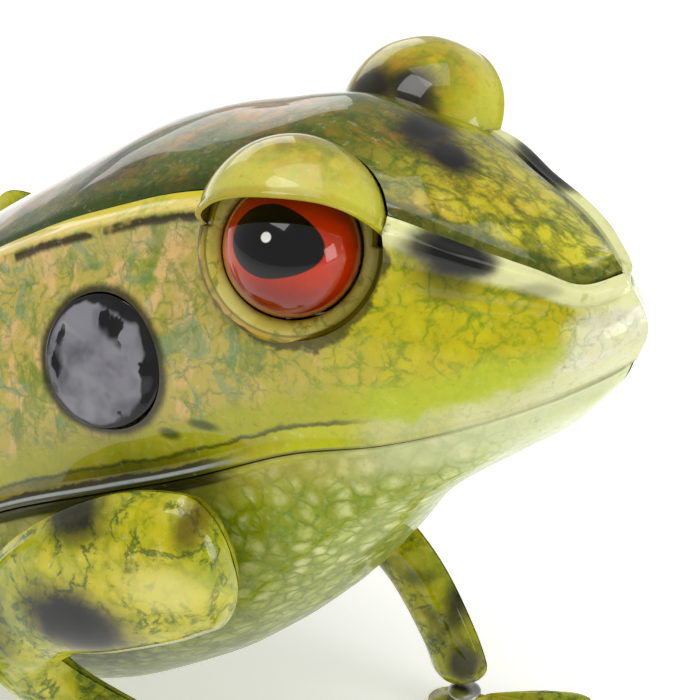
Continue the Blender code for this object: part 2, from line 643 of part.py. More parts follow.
def build_train():
    pivot = (SECOND[0], 0.0, SECOND[1])
    ends = PLATE_Y + PLATE_THICK + 0.7
    arbor = [(0, -ends), (1.0, -ends), (1.0, ends), (0, ends)]
    solid("second_arbor", *turned(pivot, (0, 1, 0), arbor, 12), STEEL, 0.3, 0.95, pivot)
    shape = gear(SECOND, PINION_TEETH, GREAT_MODULE, PHASE_PINION, 1.3, 0.2, 2.5)
    solid("second_pinion", *shape, STEEL, 0.3, 0.95, pivot)
    shape = gear(SECOND, SECOND_TEETH, SECOND_MODULE, PHASE_SECOND, 1.3, 4.9, 5.9)
    solid("second_wheel", *shape, BRASS, 0.3, 0.9, pivot)
    pivot = (CAM_AT[0], 0.0, CAM_AT[1])
    solid("cam_arbor", *turned(pivot, (0, 1, 0), arbor, 12), STEEL, 0.3, 0.95, pivot)
    shape = gear(CAM_AT, PINION_TEETH, SECOND_MODULE, PHASE_CAM, 1.3, 4.4, 6.4)
    solid("cam_pinion", *shape, STEEL, 0.3, 0.95, pivot)
    loop = []
    for k in range(32):
        part = k / 32
        radius = 3.0 + 3.6 * part**1.3
        angle = math.radians(60) + 2 * math.pi * part
        loop.append((CAM_AT[0] + radius * math.cos(angle), CAM_AT[1] + radius * math.sin(angle)))
    solid("kick_cam", *sheet(loop, -3.0, -0.4, [circle(CAM_AT, 1.3, 12)]), STEEL, 0.3, 0.95, pivot)


def build_springs():
    path = []
    for k in range(SPRING_STEPS + 1):
        part = k / SPRING_STEPS
        radius = 3.2 + 7.0 * part
        angle = 2 * math.pi * SPRING_TURNS * part + 0.6
        path.append((WINDING[0] + radius * math.cos(angle), -4.0, WINDING[1] + radius * math.sin(angle)))
    band = [(-0.17, -3.0), (0.17, -3.0), (0.17, 3.0), (-0.17, 3.0)]
    points, faces = [], []
    for k, p in enumerate(path):
        angle = 2 * math.pi * SPRING_TURNS * k / SPRING_STEPS + 0.6
        for r, y in band:
            points.append((p[0] + r * math.cos(angle), p[1] + y, p[2] + r * math.sin(angle)))
    last = 4 * SPRING_STEPS
    for i in range(SPRING_STEPS):
        for k in range(4):
            m = (k + 1) % 4
            faces.append([i * 4 + k, i * 4 + m, i * 4 + 4 + m, i * 4 + 4 + k])
    faces += [[3, 2, 1, 0], [last, last + 1, last + 2, last + 3]]
    solid("mainspring", points, faces, (92, 104, 122), 0.25, 0.95, (WINDING[0], 0.0, WINDING[1]))
    path = []
    for k in range(31):
        part = k / 30
        angle = math.radians(-40) + 2 * math.pi * 3.3 * part
        path.append((HIP[0] + 3.0 * math.cos(angle), 2.0 + 4.0 * part, HIP[1] + 3.0 * math.sin(angle)))
    path = [(HIP[0] + 13.0, 2.0, HIP[1] - 6.2)] + path + [(HIP[0] + 7.5, 6.4, HIP[1] + 4.9)]
    coil = swept(path, round_wire(0.35, 5))
    solid("return_spring", *coil, (92, 104, 122), 0.25, 0.95, (HIP[0], 0.0, HIP[1]))


THIGH = [(-64.5, 0, -70.0), (-68.5, 0, -56.0), (-66.5, 0, -42.0), (-61.0, 0, -31.5)]
SHANK = [(-61.0, 0, -32.0), (-67.5, 0, -46.0), (-72.0, 0, -63.0), (-72.5, 0, -80.6)]


def build_hind():
    pivot = (HIP[0], 0.0, HIP[1])
    solid("leg_crossbar", *rod((HIP[0], -30.2, HIP[1]), (HIP[0], 30.2, HIP[1]), 1.75, 16), STEEL, 0.3, 0.95, pivot)
    loop = [(HIP[0] + 3.1 * math.cos(t), HIP[1] + 3.1 * math.sin(t)) for t in np.linspace(0.9, 5.4, 12)]
    loop += [(-62.0, -65.2), (-50.0, -65.0), (-47.6, -64.2), (-47.4, -62.6), (-49.5, -61.7), (-61.5, -61.9)]
    lever = sheet(loop, -3.0, -0.4, [circle(HIP, 2.05, 16)])
    solid("kick_lever", *lever, STEEL, 0.3, 0.95, pivot)
    for side in (1, -1):
        name = "left" if side > 0 else "right"
        for half, outward in (("outer", 1), ("inner", -1)):
            path = [(x, 28.6, z) for x, y, z in THIGH]
            shape = half_limb(path, [7.4, 10.6, 10.0, 7.8], [3.0, 3.8, 3.8, 3.2], outward)
            colour = (116, 122, 52) if outward > 0 else (96, 102, 50)
            if outward < 0:
                cutter = solid("cut_thigh_" + name, *flip(rod((HIP[0], 22, HIP[1]), (HIP[0], 34, HIP[1]), 2.1, 16), side), colour)
                cutter.hide_render = True
                cutter.display_type = "WIRE"
            item = solid("thigh_" + half + "_" + name, *flip(shape, side), colour, 0.22, 0.1, pivot)
            if outward < 0:
                modifier = item.modifiers.new("hip", "BOOLEAN")
                modifier.operation = "DIFFERENCE"
                modifier.solver = "EXACT"
                modifier.object = cutter
        path = [(x, 35.2, z) for x, y, z in SHANK]
        oval = [(math.cos(2 * math.pi * k / 10), math.sin(2 * math.pi * k / 10)) for k in range(10)]
        fine = [curve(np.array(path, float), 3 * k / 10) for k in range(11)]

        def section(part):
            wide = 6.2 - 3.0 * part if part > 0.1 else 6.2 * math.sqrt(max(part, 0.012) / 0.1)
            return [(1.9 * c, wide * s) for c, s in oval]

        solid("shank_" + name, *flip(swept(fine, section), side), (132, 136, 58), 0.22, 0.1, pivot)
        foot = foot_shape((-72.5, 35.2), 32.0, 12.5, 0.0, 4)
        solid("hind_foot_" + name, *flip(foot, side), (140, 146, 64), 0.25, 0.1, pivot)
        ankle = rod((-72.5, 35.2, GROUND + 1.5), (-72.5, 35.2, GROUND + 2.7), 2.2, 12)
        solid("ankle_rivet_" + name, *flip(ankle, side), TINNED, 0.35, 0.9, pivot)
        knee = rod((-62.8, 37.4, -37.0), (-62.8, 38.6, -37.0), 2.0, 12)
        solid("knee_rivet_" + name, *flip(knee, side), TINNED, 0.35, 0.9, pivot)


def build():
    clear_scene()
    build_body()
    build_face()
    build_forelegs()
    build_motor()
    build_winding()
    build_great()
    build_train()
    build_springs()
    build_hind()


build()
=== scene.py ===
"""Looks of the painted tin wind-up frog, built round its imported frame."""

from math import atan2, cos, exp, floor, hypot, pi, radians, sin, sqrt

import bmesh
import bpy
import numpy as np
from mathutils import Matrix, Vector, noise

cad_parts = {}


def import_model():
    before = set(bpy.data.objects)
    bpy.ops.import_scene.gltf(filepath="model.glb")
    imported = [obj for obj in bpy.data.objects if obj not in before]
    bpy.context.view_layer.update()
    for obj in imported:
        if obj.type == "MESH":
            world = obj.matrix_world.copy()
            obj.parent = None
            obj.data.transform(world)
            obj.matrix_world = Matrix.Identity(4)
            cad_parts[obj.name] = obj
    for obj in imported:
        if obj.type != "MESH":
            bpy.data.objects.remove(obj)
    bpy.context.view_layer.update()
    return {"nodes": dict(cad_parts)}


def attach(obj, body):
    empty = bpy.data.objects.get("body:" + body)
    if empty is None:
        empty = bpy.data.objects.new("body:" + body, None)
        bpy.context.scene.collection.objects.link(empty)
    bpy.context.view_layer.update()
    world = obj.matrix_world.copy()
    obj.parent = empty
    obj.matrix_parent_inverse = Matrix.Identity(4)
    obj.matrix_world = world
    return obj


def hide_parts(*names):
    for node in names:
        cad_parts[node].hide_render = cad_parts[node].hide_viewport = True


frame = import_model()

MM = 0.001
GROUND = -84.0
SHIFT_X = 24.3
TIN = 0.5

# Body rails, one row per station from snout to rump: crown, ridge, cheek, seam, flank, belly line.
STATIONS = [
    (
        (28.6, -2.4),
        (30.4, 0.0, -4.9),
        (32.9, 0.0, -9.6),
        (31.9, 0.0, -13.9),
        (31.2, 0.0, -16.0),
        (30.0, -18.0),
    ),
    (
        (26.2, -2.4),
        (27.4, 5.0, -4.9),
        (30.2, 5.3, -10.0),
        (29.6, 4.0, -14.9),
        (28.6, 4.0, -18.5),
        (26.0, -22.8),
    ),
    (
        (21.8, -0.4),
        (23.4, 7.9, -3.0),
        (25.4, 9.6, -10.0),
        (25.3, 9.0, -16.3),
        (23.5, 8.5, -21.5),
        (20.0, -28.0),
    ),
    (
        (15.3, 2.6),
        (17.2, 10.6, -1.2),
        (18.8, 14.0, -9.5),
        (19.8, 13.5, -18.0),
        (17.5, 12.0, -26.0),
        (13.5, -33.5),
    ),
    (
        (8.0, 5.6),
        (10.0, 13.4, 1.1),
        (10.5, 17.2, -10.0),
        (11.5, 17.2, -20.8),
        (10.0, 15.5, -31.0),
        (8.0, -42.0),
    ),
    (
        (-2.0, 7.8),
        (0.0, 14.2, 1.6),
        (0.0, 19.2, -11.0),
        (2.0, 19.7, -23.0),
        (2.5, 18.0, -38.0),
        (1.5, -51.0),
    ),
    (
        (-14.0, 4.8),
        (-13.0, 14.6, -1.2),
        (-11.0, 20.5, -14.0),
        (-8.5, 21.0, -28.2),
        (-6.0, 20.5, -46.0),
        (-7.0, -60.0),
    ),
    (
        (-25.0, 0.2),
        (-24.0, 15.0, -5.7),
        (-21.0, 21.8, -20.0),
        (-19.0, 22.0, -33.0),
        (-16.0, 22.5, -52.0),
        (-17.0, -68.0),
    ),
    (
        (-37.0, -7.8),
        (-34.0, 15.2, -10.6),
        (-31.0, 22.5, -25.0),
        (-30.0, 22.6, -38.0),
        (-28.0, 23.0, -58.0),
        (-30.0, -76.0),
    ),
    (
        (-50.0, -17.0),
        (-47.0, 15.0, -19.0),
        (-44.0, 22.0, -32.0),
        (-43.0, 22.6, -45.0),
        (-42.0, 22.6, -62.0),
        (-45.0, -80.0),
    ),
    (
        (-62.0, -29.5),
        (-60.0, 13.5, -30.5),
        (-58.0, 20.0, -41.0),
        (-57.5, 20.6, -51.0),
        (-57.0, 20.4, -65.0),
        (-60.0, -80.0),
    ),
    (
        (-73.0, -44.0),
        (-72.0, 10.0, -44.5),
        (-71.5, 15.5, -51.0),
        (-71.5, 16.0, -58.0),
        (-71.5, 15.0, -68.0),
        (-73.0, -76.0),
    ),
    (
        (-80.3, -57.0),
        (-80.8, 0.0, -59.0),
        (-81.3, 0.0, -61.5),
        (-81.5, 0.0, -64.0),
        (-81.3, 0.0, -67.0),
        (-80.3, -69.5),
    ),
]
LAST = len(STATIONS) - 1
MOUTH_CORNER = 4.1

DOME = np.array((0.0, 14.8, 0.0))
DOME_R = 9.6
BALL = np.array((0.3, 15.3, -1.9))
BALL_R = 7.0
SOCKET_AXIS = (0.357, 0.815, 0.459)
LID_AXIS = (-0.204, -0.675, 0.709)
GAZE = (0.075, 0.845, 0.535)
EAR = np.array((-20.0, 21.0, -17.8))
EAR_AXIS = (0.02, 0.93, 0.36)
EAR_R = 7.1
EYE_OPENING = 9.9
KEY_AXLE = (-34.0, 0.0, -33.0)
HIP_AXLE = (-66.0, 0.0, -63.0)
FRONT_HEEL = (5.0, 19.6)
HIND_HEEL = (-72.5, 35.2)
# The two sides are cut apart a little off the middle, then closed up to it.
CUT_GAP = 0.17
SEAM_GAP = 0.02
UV_SPAN = 100.0
SIDES = ((1, "left"), (-1, "right"))


def world(p):
    """A place in the frog's own millimetres, turned into the frame's metres."""
    return ((p[0] + SHIFT_X) * MM, p[1] * MM, (p[2] - GROUND) * MM)


def mirrored(p, side):
    return (p[0], p[1] * side, p[2])


# ------------------------------------------------------------------ node helpers
RICHNESS = 1.3


def colour(r, g, b):
    """A paint as mixed: a little richer than it looks under a clear coat."""
    shade = [(v / 255.0) ** 2.2 for v in (r, g, b)]
    grey = sum(shade) / 3.0
    return tuple(min(max(grey + (v - grey) * RICHNESS, 0.0), 1.0) for v in shade) + (1.0,)


class Nodes:
    """Short ways to place and join shader nodes in one tree."""

    def __init__(self, tree):
        self.tree = tree

    def add(self, kind, **values):
        node = self.tree.nodes.new(kind)
        for key, value in values.items():
            setattr(node, key, value)
        return node

    def feed(self, socket, value):
        if isinstance(value, bpy.types.NodeSocket):
            self.tree.links.new(value, socket)
        elif value is not None:
            socket.default_value = value

    def math(self, operation, *values):
        node = self.add("ShaderNodeMath", operation=operation)
        for socket, value in zip(node.inputs, values):
            self.feed(socket, value)
        return node.outputs[0]

    def times(self, first, *others):
        for other in others:
            first = self.math("MULTIPLY", first, other)
        return first

    def plus(self, a, b):
        return self.math("ADD", a, b)

    def minus(self, a, b):
        return self.math("SUBTRACT", a, b)

    def rest(self, mask):
        """What a mask leaves out."""
        return self.math("SUBTRACT", 1.0, mask)

    def linear(self, value, slope, start):
        return self.math("MULTIPLY_ADD", value, slope, start)

    def vector(self, operation, a, b=(0, 0, 0), scale=1.0):
        node = self.add("ShaderNodeVectorMath", operation=operation)
        self.feed(node.inputs[0], a)
        self.feed(node.inputs[1], b)
        if operation == "SCALE":
            self.feed(node.inputs["Scale"], scale)
        is_number = operation in ("LENGTH", "DOT_PRODUCT", "DISTANCE")
        return node.outputs["Value" if is_number else "Vector"]

    def step(self, value, low, high, out_low=0.0, out_high=1.0):
        """Rises smoothly from out_low to out_high as the value goes from low to high."""
        node = self.add("ShaderNodeMapRange", interpolation_type="SMOOTHSTEP")
        for socket, item in zip(node.inputs, (value, low, high, out_low, out_high)):
            self.feed(socket, item)
        return node.outputs[0]

    def fade(self, value, low, high):
        return self.step(value, low, high, 1.0, 0.0)

    def band(self, value, low, full, going, gone):
        """A mask that is on between two places and soft at both ends."""
        return self.times(self.step(value, low, full), self.fade(value, going, gone))

    def mix(self, amount, a, b, blend="MIX"):
        node = self.add("ShaderNodeMix", data_type="RGBA", blend_type=blend, clamp_factor=True)
        for socket, value in zip((node.inputs[0], node.inputs[6], node.inputs[7]), (amount, a, b)):
            is_tint = isinstance(value, tuple) and len(value) == 3
            self.feed(socket, colour(*value) if is_tint else value)
        return node.outputs[2]

    def noise(self, where, scale, detail=4.0, rough=0.55, distortion=0.0, output=0):
        node = self.add("ShaderNodeTexNoise")
        values = {
            "Vector": where, "Scale": scale, "Detail": detail, "Roughness": rough, "Distortion": distortion
        }
        for label, value in values.items():
            self.feed(node.inputs[label], value)
        return node.outputs[output]

    def place(self):
        return self.add("ShaderNodeTexCoord").outputs["Object"]

    def split(self, vector):
        node = self.add("ShaderNodeSeparateXYZ")
        self.feed(node.inputs[0], vector)
        return node.outputs

    def stretched(self, where, scale):
        node = self.add("ShaderNodeMapping", vector_type="POINT")
        node.inputs["Scale"].default_value = scale
        self.feed(node.inputs["Vector"], where)
        return node.outputs[0]

    def distance_in(self, name):
        """The second coordinate of a UV map: the distance from an edge in tenths of a metre."""
        return self.split(self.add("ShaderNodeUVMap", uv_map=name).outputs[0])[1]

    def group(self, tree, **values):
        node = self.add("ShaderNodeGroup", node_tree=tree)
        for key, value in values.items():
            self.feed(node.inputs[key.replace("_", " ")], value)
        return node.outputs


def new_group(name, inputs, outputs):
    """An empty shader group with named sockets. Each input is (name, kind, value)."""
    tree = bpy.data.node_groups.new(name, "ShaderNodeTree")
    for label, kind, value in inputs:
        socket = tree.interface.new_socket(label, in_out="INPUT", socket_type="NodeSocket" + kind)
        if value is not None:
            socket.default_value = value
    for label, kind in outputs:
        tree.interface.new_socket(label, in_out="OUTPUT", socket_type="NodeSocket" + kind)
    nodes = Nodes(tree)
    start = nodes.add("NodeGroupInput").outputs
    end = nodes.add("NodeGroupOutput").inputs
    return tree, nodes, start, end


def make_cell_lines():
    """Paint that has drawn into cells: fine broken lines between them, and a tone for each cell."""
    tree, n, start, end = new_group(
        "drawn paint cells",
        [("Place", "Vector", None), ("Cells per Metre", "Float", 400.0),
         ("Line Width", "Float", 0.1), ("Wander", "Float", 0.0015), ("Breaks", "Float", 0.5)],
        [("Lines", "Float"), ("Cell Tone", "Float"), ("Pale Heart", "Float")],
    )
    warp = n.noise(start["Place"], 330.0, 3.0, output=1)
    shift = n.vector("SCALE", n.vector("SUBTRACT", warp, (0.5, 0.5, 0.5)), scale=start["Wander"])
    at = n.vector("ADD", start["Place"], shift)
    edge = n.add("ShaderNodeTexVoronoi", feature="DISTANCE_TO_EDGE")
    cell = n.add("ShaderNodeTexVoronoi", feature="F1")
    for node in (edge, cell):
        n.feed(node.inputs["Vector"], at)
        n.feed(node.inputs["Scale"], start["Cells per Metre"])
    line = n.fade(edge.outputs["Distance"], 0.0, start["Line Width"])
    patchy = n.noise(start["Place"], 520.0, 5.0, 0.65)
    gone = n.step(patchy, n.minus(start["Breaks"], 0.1), n.plus(start["Breaks"], 0.06))
    n.feed(end["Lines"], n.times(line, gone))
    n.feed(end["Cell Tone"], n.split(cell.outputs["Color"])[0])
    n.feed(end["Pale Heart"], n.fade(cell.outputs["Distance"], 0.15, 0.55))
    return tree


def make_sponge():
    """Dabbed paint: thin ragged veins and broad soft patches."""
    tree, n, start, end = new_group(
        "sponged veins",
        [
            ("Place", "Vector", None),
            ("Scale", "Float", 150.0),
            ("Width", "Float", 0.05),
            ("Cover", "Float", 0.5),
        ],
        [("Veins", "Float"), ("Patches", "Float"), ("Specks", "Float")],
    )
    broad = n.noise(start["Place"], start["Scale"], 6.0, 0.62, 0.4)
    ridge = n.math("ABSOLUTE", n.minus(broad, 0.5))
    thin = n.fade(ridge, 0.0, start["Width"])
    second = n.noise(
        n.vector("ADD", start["Place"], (3.1, 1.7, 0.4)), n.times(start["Scale"], 1.9), 5.0, 0.6
    )
    covered = n.step(second, n.minus(start["Cover"], 0.08), n.plus(start["Cover"], 0.08))
    n.feed(end["Veins"], n.times(thin, covered))
    third = n.noise(
        n.vector("ADD", start["Place"], (0.7, 5.2, 2.2)), n.times(start["Scale"], 0.55), 4.0, 0.6
    )
    n.feed(end["Patches"], n.step(third, 0.42, 0.62))
    fine = n.noise(start["Place"], n.times(start["Scale"], 9.0), 3.0, 0.7)
    n.feed(end["Specks"], n.step(fine, 0.62, 0.72))
    return tree


def make_spot():
    """A soft airbrushed spot, longer one way than the other, with a wandering rim."""
    tree, n, start, end = new_group(
        "airbrushed spot",
        [("Place", "Vector", None), ("Centre", "Vector", (0, 0, 0)),
         ("Size", "Vector", (0.004, 0.004, 0.004)), ("Softness", "Float", 0.5)],
        [("Mask", "Float")],
    )
    away = n.vector("DIVIDE", n.vector("SUBTRACT", start["Place"], start["Centre"]), start["Size"])
    far = n.vector("LENGTH", away)
    ragged = n.linear(n.noise(start["Place"], 420.0, 3.0), 0.35, -0.17)
    far = n.plus(far, ragged)
    inner = n.rest(start["Softness"])
    n.feed(end["Mask"], n.fade(far, inner, n.plus(1.0, start["Softness"])))
    return tree


def make_enamel():
    """The skin of thick brushed enamel: slow waves, orange peel and a little uneven gloss."""
    tree, n, start, end = new_group(
        "thick enamel skin",
        [
            ("Place", "Vector", None),
            ("Waves", "Float", 1.0),
            ("Peel", "Float", 0.3),
            ("Gloss", "Float", 0.3),
        ],
        [("Height", "Float"), ("Roughness", "Float")],
    )
    slow = n.noise(start["Place"], 90.0, 2.0, 0.5)
    peel = n.noise(start["Place"], 900.0, 2.0, 0.5)
    dabs = n.noise(start["Place"], 260.0, 3.0, 0.55)
    slow = n.times(n.linear(dabs, 0.4, slow), start["Waves"])
    height = n.plus(slow, n.times(peel, start["Peel"], 0.1))
    n.feed(end["Height"], height)
    smear = n.noise(start["Place"], 210.0, 5.0, 0.6)
    n.feed(end["Roughness"], n.linear(smear, 0.22, start["Gloss"]))
    return tree


CELLS = make_cell_lines()
SPONGE = make_sponge()
SPOT = make_spot()
ENAMEL = make_enamel()


class Material(Nodes):
    """Node helpers for a new material, with its shader and the place on the object."""

    def __init__(self, name):
        self.made = bpy.data.materials.new(name)
        self.made.use_nodes = True
        super().__init__(self.made.node_tree)
        self.shader = self.tree.nodes["Principled BSDF"]
        self.where = self.place()

    def set(self, **values):
        for label, value in values.items():
            self.shader.inputs[label.replace("_", " ")].default_value = value

    def raised(self, height, strength, distance):
        bump = self.add("ShaderNodeBump")
        bump.inputs["Strength"].default_value = strength
        bump.inputs["Distance"].default_value = distance
        self.feed(bump.inputs["Height"], height)
        self.feed(self.shader.inputs["Normal"], bump.outputs[0])

    def lay(self, tint, *masks):
        """Lays a tint over the colour so far where all the masks are on."""
        self.base = self.mix(self.times(*masks), self.base, tint)

    def mottle(self, amount):
        """Uneven depth of paint: darker where it pooled, paler where it was dabbed off."""
        fine = self.noise(self.where, 1150.0, 7.0, 0.72)
        broad = self.noise(self.vector("ADD", self.where, (0.7, 0.1, 0.4)), 170.0, 6.0, 0.66)
        pooled = self.times(self.step(fine, 0.52, 0.70), self.step(broad, 0.40, 0.62), amount)
        dabbed = self.times(self.fade(fine, 0.30, 0.46), self.fade(broad, 0.42, 0.58), amount * 0.8)
        self.base = self.mix(pooled, self.base, (0.42, 0.47, 0.22, 1.0), "MULTIPLY")
        self.base = self.mix(dabbed, self.base, (0.34, 0.33, 0.24, 1.0), "SCREEN")

    def spot(self, centre, size, softness):
        size = tuple(v * MM for v in size)
        return self.group(
            SPOT, Place=self.where, Centre=world(centre), Size=size, Softness=softness
        )["Mask"]

    def spots(self, tint, places):
        """Airbrushed spots of one tint. Each place is (centre, size, softness, amount)."""
        for centre, size, softness, amount in places:
            self.lay(tint, self.spot(centre, size, softness), amount)

    def cells(self, per_metre, width, wander, breaks):
        return self.group(
            CELLS,
            Place=self.where,
            Cells_per_Metre=per_metre,
            Line_Width=width,
            Wander=wander,
            Breaks=breaks,
        )

    def sponge(self, scale, width, cover, where=None):
        return self.group(SPONGE, Place=where or self.where, Scale=scale, Width=width, Cover=cover)

    def finish(self, roughness=None):
        self.feed(self.shader.inputs["Base Color"], self.base)
        self.feed(self.shader.inputs["Roughness"], roughness)
        return self.made


def new_paint(name, gloss, waves=1.0, coat=1.0):
    """A gloss enamel material. Its colour is given when it is finished."""
    n = Material(name)
    skin = n.group(ENAMEL, Place=n.where, Waves=waves, Peel=0.3, Gloss=gloss)
    n.raised(skin["Height"], 0.35, 0.0006)
    n.feed(n.shader.inputs["Roughness"], skin["Roughness"])
    n.set(Coat_Weight=coat, Coat_Roughness=0.04, Coat_IOR=1.4, Specular_IOR_Level=0.1)
    return n, n.where


def both_sides(places):
    """The same spots on the right half too."""
    return places + [((p[0], -p[1], p[2]), size, soft, amount) for p, size, soft, amount in places]


def at_x(x):
    return (x + SHIFT_X) * MM


def at_z(z):
    return (z - GROUND) * MM


BLACK_PAINT = (12, 10, 7)
DARK_GREEN = (38, 58, 24)


def make_back_paint():
    n, where = new_paint("olive back enamel", 0.14, 2.2)
    x = n.split(where)[0]
    cells = n.cells(330.0, 0.16, 0.004, 0.47)
    drawn = n.stretched(where, (0.5, 1.0, 0.8))
    sponge = n.sponge(230.0, 0.045, 0.46, drawn)
    wide = n.sponge(120.0, 0.05, 0.45, drawn)
    front = n.step(x, at_x(0.0), at_x(19.0))
    n.base = n.mix(front, (104, 98, 36), (174, 164, 58))
    n.lay(n.mix(front, (86, 98, 40), (192, 184, 78)), wide["Patches"], 0.55)
    n.lay(n.mix(front, (160, 112, 40), (172, 152, 52)), sponge["Patches"], 0.85)
    # Towards the tip the plate is paler: pale paint, and a painted highlight on the tip itself.
    tip = n.step(x, at_x(17.0), at_x(28.0))
    n.lay((206, 204, 104), tip, 0.6)
    n.lay((214, 208, 120), cells["Pale Heart"], front, 0.35)
    n.lay(DARK_GREEN, sponge["Veins"], n.linear(front, -0.22, 0.62))
    n.lay((40, 62, 28), wide["Veins"], 0.6)
    n.lay((58, 84, 30), cells["Lines"], 0.55)
    n.lay((34, 40, 18), sponge["Specks"], 0.35)
    v = n.distance_in("edge")
    ragged = n.times(n.noise(where, 600.0, 4.0), 0.024)
    near_edge = n.fade(n.minus(v, ragged), 0.0, 0.014)
    n.lay((34, 58, 18), near_edge, 0.75)
    n.mottle(0.75)
    n.spots(BLACK_PAINT, [
        ((6.2, 1.9, 5.0), (3.2, 4.6, 3.0), 0.5, 1.0),
        ((10.2, -0.6, 4.2), (3.2, 3.0, 3.0), 0.5, 1.0),
        ((12.0, 11.5, 0.8), (5.0, 1.6, 2.0), 0.5, 0.8),
        ((-6.0, -8.5, 5.0), (6.0, 3.0, 4.0), 0.6, 0.45),
        ((-3.0, 9.0, 6.0), (7.0, 3.2, 4.0), 0.5, 0.9),
        ((-44.0, 6.0, -13.0), (8.0, 5.0, 7.0), 0.5, 0.8),
        ((-60.0, -6.0, -28.0), (7.0, 6.0, 7.0), 0.5, 0.85),
        ((-28.0, -7.0, -2.0), (7.0, 3.4, 5.0), 0.6, 0.55),
    ])
    return n.finish()


